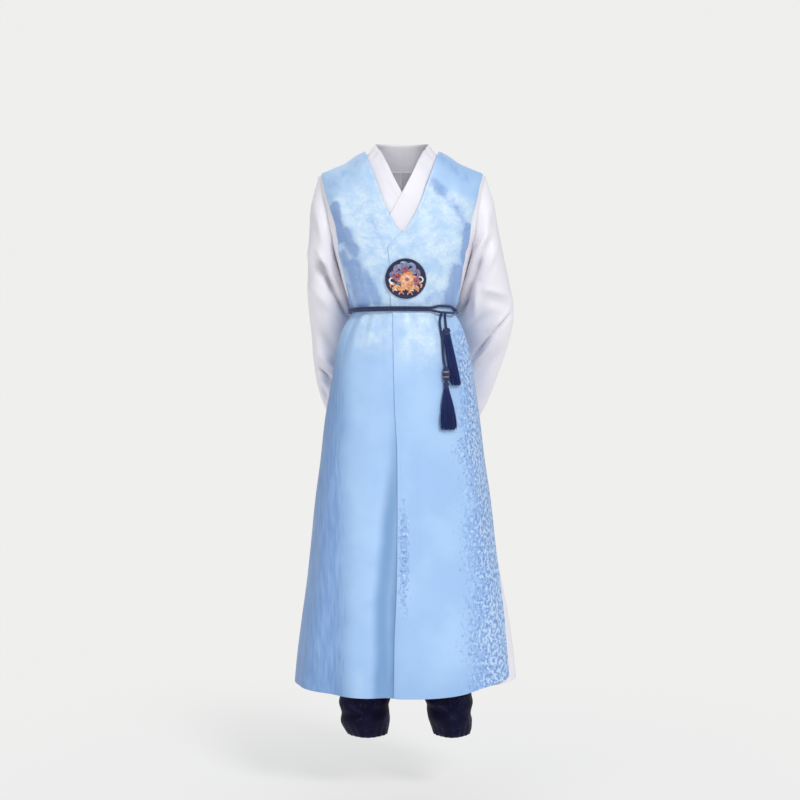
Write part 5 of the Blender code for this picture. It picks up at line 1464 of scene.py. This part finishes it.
def knot():
    """A woven button knot with two gold bindings."""
    def place(part, across, deep, lift=0.0):
        x = KNOT_X[0] + (KNOT_X[1] - KNOT_X[0]) * part + across
        z = KNOT_TOP + (KNOT_END - KNOT_TOP) * part + lift
        return over_coat(x, z, KNOT_RADIUS + deep + 2.0 * SEAM_GAP)

    part = np.linspace(0.0, 1.0, 60)[:, None]
    angle = round_angles(64)
    size = KNOT_RADIUS * np.interp(part, *KNOT_SHAPE) * (0.86 + 0.13 * crossed(angle, part * 11.0, 4.0))
    rings = place(part, np.cos(angle) * size, np.sin(angle) * size)
    piece = tube("button_knot", rings, part * 0.032, angle * KNOT_RADIUS, BRAID)
    dress(piece, "navy_cord", "tassel_knot")
    turn = np.linspace(0.0, 2.0 * np.pi, 41)
    round_x, round_y = np.cos(turn) * KNOT_RADIUS * 0.80, np.sin(turn) * KNOT_RADIUS * 0.80
    bindings = line_mesh("gold_bindings", [
        place(at, round_x, round_y, lift) for at in (0.33, 0.67) for lift in (-0.7 * MM, 0.7 * MM)
    ])
    grow(bindings, STRAND_TREE, strand_radius=0.55 * MM, silk=GOLD_THREAD)
    dress(bindings, "navy_cord")
    return [piece, bindings]


# ---------------------------------------------------------------- badge
def on_badge(u, v, height):
    """Point on the badge from its centre, in badge radii."""
    return over_coat(BADGE[0] + BADGE_RADIUS * u, BADGE[1] + BADGE_RADIUS * v, BADGE_CLOTH + height)


def silk_patch(name, finish, height, outlines):
    """Raised satin stitch: each outline is a centre line and its half widths."""
    points, faces, uvs = [], [], []
    for centre, half in outlines:
        tangent = unit(np.gradient(centre, axis=0))
        side = np.stack([-tangent[:, 1], tangent[:, 0]], -1)
        across = np.linspace(-1.0, 1.0, 9)
        plan = centre[:, None] + side[:, None] * (half[:, None] * across)[..., None]
        fullness = np.clip(half / half.max(), 0.0, 1.0)[:, None] ** 0.6
        domed = np.sqrt(np.clip(1.0 - across**2, 0.0, 1.0)) * fullness
        top = on_badge(plan[..., 0], plan[..., 1], height * domed + 0.05 * MM)
        foot = on_badge(plan[..., 0], plan[..., 1], -0.4 * MM)
        start, skin = len(points), plan[..., 0].size
        grid = start + np.arange(skin).reshape(plan.shape[:2])
        points += top.reshape(-1, 3).tolist() + foot.reshape(-1, 3).tolist()
        along = lengths(centre * BADGE_RADIUS, 0)[:, None]
        uv = np.stack(np.broadcast_arrays(along, half[:, None] * across * BADGE_RADIUS), -1)
        uvs += uv.reshape(-1, 2).tolist() * 2
        for skins in two_skins(grid[:, :-1], grid[:, 1:], skin):
            faces += skins.tolist()
        edge = rim(grid)
        after = np.roll(edge, -1)
        faces += np.stack([edge, after, after + skin, edge + skin], -1).tolist()
    piece = piece_from(name, points, faces, finish, uvs)
    face_outwards(piece)
    dress(piece, "badge_cloth")


def petal(base, degrees, length, width, bend=0.0):
    """Centre line and half widths of one petal or leaf, in badge radii."""
    part = np.linspace(0.0, 1.0, 15)
    heading = np.radians(degrees) + bend * (part - 0.3)
    steps = np.stack([np.cos(heading), np.sin(heading)], -1) * length / 14.0
    line = np.array(base) + np.concatenate([[[0.0, 0.0]], np.cumsum(steps[:-1], 0)])
    return line, width * np.sin(np.pi * np.clip(part, 0.02, 0.985) ** 0.8) + 0.004


def arc(centre, radius, start, end, width, grow_out=0.0):
    """Centre line and half widths of a curl, in badge radii."""
    turn = np.radians(np.linspace(start, end, 30))
    part = np.linspace(0.0, 1.0, 30)
    reach = radius + grow_out * part
    line = np.stack([centre[0] + reach * np.cos(turn), centre[1] + reach * np.sin(turn)], -1)
    return line, width * np.sin(np.pi * np.clip(part, 0.03, 0.97)) ** 0.5 + 0.003


def bloom(centre, size, petals, turn, width, bend=0.0):
    """Petals all round a centre."""
    made = []
    for degrees in np.arange(petals) * 360.0 / petals + turn:
        way = np.radians(degrees)
        base = (centre[0] + 0.16 * size * np.cos(way), centre[1] + 0.16 * size * np.sin(way))
        made.append(petal(base, degrees, size, width * size, bend))
    return made


def badge_disc():
    """Navy disc with a corded rim."""
    sides, rows = 144, 40
    angle = round_angles(sides)
    reach = (np.linspace(0.0, 1.0, rows) ** 0.8)[:, None]
    reach[0] = 0.004
    rope = 1.0 + 0.10 * np.cos(72 * angle + reach * 90.0)
    height = 1.5 * MM * np.exp(-(((reach - 0.955) / 0.035) ** 2)) * rope
    flat = np.stack([reach * np.cos(angle), reach * np.sin(angle)], -1)
    layers = [on_badge(flat[..., 0], flat[..., 1], out) for out in (height, -BADGE_CLOTH + 0.0 * height)]
    index = np.arange(rows * sides).reshape(rows, sides)
    skin = rows * sides
    faces = [face for skins in two_skins(index, np.roll(index, -1, 1), skin) for face in skins.tolist()]
    last, after = index[-1], np.roll(index[-1], -1)
    faces += np.stack([last, last + skin, after + skin, after], -1).tolist()
    faces += [index[0].tolist(), (index[0][::-1] + skin).tolist()]
    uv = np.concatenate([(flat * BADGE_RADIUS).reshape(-1, 2)] * 2)
    disc = piece_from("badge_disc", np.concatenate(layers).reshape(-1, 3), faces, NAVY_DISC, uv)
    face_outwards(disc)
    dress(disc, "badge_cloth", "badge")


def badge():
    """A blossom embroidered over waves, between clouds, on a navy disc."""
    badge_disc()
    silk_patch("badge_clouds", MIST_SILK, 0.5 * MM, [
        arc((-0.34, 0.44), 0.16, -40, 250, 0.085, 0.05), arc((-0.06, 0.58), 0.17, -30, 230, 0.090, 0.04),
        arc((0.26, 0.52), 0.16, -60, 200, 0.085, 0.05), arc((0.50, 0.26), 0.14, -80, 170, 0.075, 0.04),
        arc((-0.58, 0.20), 0.12, 20, 280, 0.070, 0.03),
    ])
    silk_patch("badge_haze", MAUVE_SILK, 0.8 * MM, [
        petal((-0.70, 0.02), 62, 0.62, 0.090, -0.9), petal((-0.24, 0.36), 52, 0.46, 0.085, -0.8),
        petal((0.70, 0.10), 118, 0.56, 0.085, 0.8), petal((0.10, 0.40), 18, 0.40, 0.080, 0.6),
        petal((-0.50, 0.44), 40, 0.34, 0.070, -0.5),
    ])
    silk_patch("badge_waves", APRICOT_SILK, 0.8 * MM, [
        *(arc((x, -0.60), 0.19, 205, -25, 0.062) for x in (-0.42, 0.0, 0.42)),
        *(arc((x, -0.58), 0.08, 205, -25, 0.045) for x in (-0.42, 0.0, 0.42)),
        arc((-0.62, -0.34), 0.13, 230, 0, 0.050, -0.02), arc((0.62, -0.34), 0.13, 180, -50, 0.050, 0.02),
        *(arc((x, -0.80), 0.11, 190, -10, 0.040) for x in (-0.21, 0.21)),
    ])
    silk_patch("badge_wave_crests", PEACH_SILK, 1.1 * MM, [
        *(arc((x, -0.60), 0.26, 160, 20, 0.022) for x in (-0.42, 0.0, 0.42)),
        *(arc((x, -0.59), 0.135, 190, -10, 0.022) for x in (-0.42, 0.0, 0.42)),
    ])
    silk_patch("badge_blossom", APRICOT_SILK, 1.0 * MM, bloom((0.06, -0.02), 0.44, 8, 14, 0.36, 0.25))
    silk_patch("badge_blossom_inner", PEACH_SILK, 1.5 * MM, bloom((0.06, -0.02), 0.30, 7, 0, 0.38, -0.3))
    silk_patch("badge_side_blossoms", ROSE_SILK, 1.6 * MM, [
        *bloom((-0.44, 0.10), 0.22, 6, 20, 0.42, 0.2), *bloom((0.52, -0.10), 0.18, 6, 5, 0.42, -0.2),
        *bloom((-0.02, 0.46), 0.16, 5, 40, 0.42), *bloom((0.06, -0.02), 0.12, 6, 10, 0.42),
    ])
    silk_patch("badge_leaves", MIST_SILK, 1.2 * MM, [
        petal((-0.24, -0.16), 215, 0.34, 0.075, 0.7), petal((-0.20, 0.24), 140, 0.26, 0.065, -0.5),
        petal((0.36, 0.24), 40, 0.26, 0.065, 0.5), petal((0.36, -0.22), -28, 0.26, 0.060, -0.5),
    ])
    silk_patch("badge_foam", WHITE_SILK, 1.2 * MM, [
        arc((-0.68, -0.06), 0.12, 300, 40, 0.040, -0.03), petal((-0.80, -0.10), -48, 0.34, 0.050, 0.4),
        arc((0.70, -0.02), 0.12, 130, -120, 0.032, 0.03), petal((-0.56, -0.52), -30, 0.20, 0.032, -0.5),
        arc((0.30, -0.76), 0.16, 150, 50, 0.026), arc((-0.16, 0.62), 0.20, 120, 60, 0.018),
    ])


# ---------------------------------------------------------------- studio
def floor_finish():
    """Pale floor that fades into the studio's own tone further out."""
    made, tree, shader = new_finish("pale studio floor", Base_Color=(0.97, 0.97, 0.965, 1.0), Roughness=0.9,
                                    Specular_IOR_Level=0.0)
    away = put(tree, "ShaderNodeVectorMath", {"operation": "LENGTH"}, i0=object_place(tree)).outputs["Value"]
    glow = put(tree, "ShaderNodeEmission", Color=STUDIO, Strength=1.0).outputs[0]
    faded = step_up(tree, away, 0.5, 2.2)
    mixed = put(tree, "ShaderNodeMixShader", i0=faded, i1=shader.outputs[0], i2=glow).outputs[0]
    tree.links.new(mixed, tree.nodes["Material Output"].inputs["Surface"])
    return made


def set_floor():
    mesh = bpy.data.meshes.new("studio_floor")
    corners = ((-1.0, -1.0), (1.0, -1.0), (1.0, 1.0), (-1.0, 1.0))
    mesh.from_pydata([(x * FLOOR_REACH, y * FLOOR_REACH, FLOOR) for x, y in corners], [], [(0, 1, 2, 3)])
    mesh.materials.append(floor_finish())
    new_object("studio_floor", mesh)


def set_sky(scene):
    """Plain studio tone behind, and a soft cool light from all round."""
    world = scene.world or bpy.data.worlds.new("studio")
    scene.world = world
    world.use_nodes = True
    tree = world.node_tree
    tree.nodes.clear()
    seen = put(tree, "ShaderNodeBackground", Color=STUDIO, Strength=1.0).outputs[0]
    lit = put(tree, "ShaderNodeBackground", Color=(0.96, 0.975, 1.0, 1.0), Strength=0.42).outputs[0]
    behind = put(tree, "ShaderNodeLightPath").outputs["Is Camera Ray"]
    chosen = put(tree, "ShaderNodeMixShader", i0=behind, i1=lit, i2=seen).outputs[0]
    tree.links.new(chosen, put(tree, "ShaderNodeOutputWorld").inputs[0])


def set_stage():
    set_floor()
    scene = bpy.context.scene
    scene.view_settings.view_transform = "Standard"
    set_sky(scene)
    for name, towards, strength, width in SUNS:
        sun = new_object(f"{name}_light", bpy.data.lights.new(f"{name}_light", "SUN"))
        sun.data.energy, sun.data.angle = strength, math.radians(width)
        sun.rotation_euler = Vector(towards).to_track_quat("-Z", "Y").to_euler()
    camera = new_object("camera", bpy.data.cameras.new("camera"))
    camera.data.lens, camera.data.sensor_width = 70.0, 36.0
    camera.location = (-0.0045, -3.5, -0.5445)
    camera.rotation_euler = (math.radians(90.0), 0.0, 0.0)
    scene.camera = camera


set_stage()
STRAND_TREE = strand_tree()
STITCH_TREE = stitch_tree()
short_tassel = tassel("tassel_short")
long_tassel = tassel("tassel_long")
button = knot()
hanging_cord("short", SHORT_CORD)
hanging_cord("long", LONG_CORD)
for side in ("right", "left"):
    for layer in ("robe", "coat"):
        panel(layer, "front", side)
        panel(layer, "back", side)
    sleeve(side)
    leg(side)
collar()
hip_ring("trouser_waist", "trouser_waistband", -0.331, -0.356, 0.0, 10)
hip_ring("trouser_seat", "trouser_hips", -0.3563, CROTCH, 2.0 * MM, 24)
belt_cord("upper")
belt_cord("lower")
badge()
for kind, thread, slot in (
    ("blue", BLUE_THREAD, "coat_brocade"), ("white", WHITE_THREAD, "robe_satin"),
    ("navy", STRANDS, "trouser_cloth"),
):
    row = line_mesh(f"{kind}_stitches", stitched[kind])
    grow(row, STITCH_TREE, pitch=3.6 * MM, stitch_length=2.7 * MM, thread_radius=0.28 * MM, thread=thread)
    dress(row, slot)
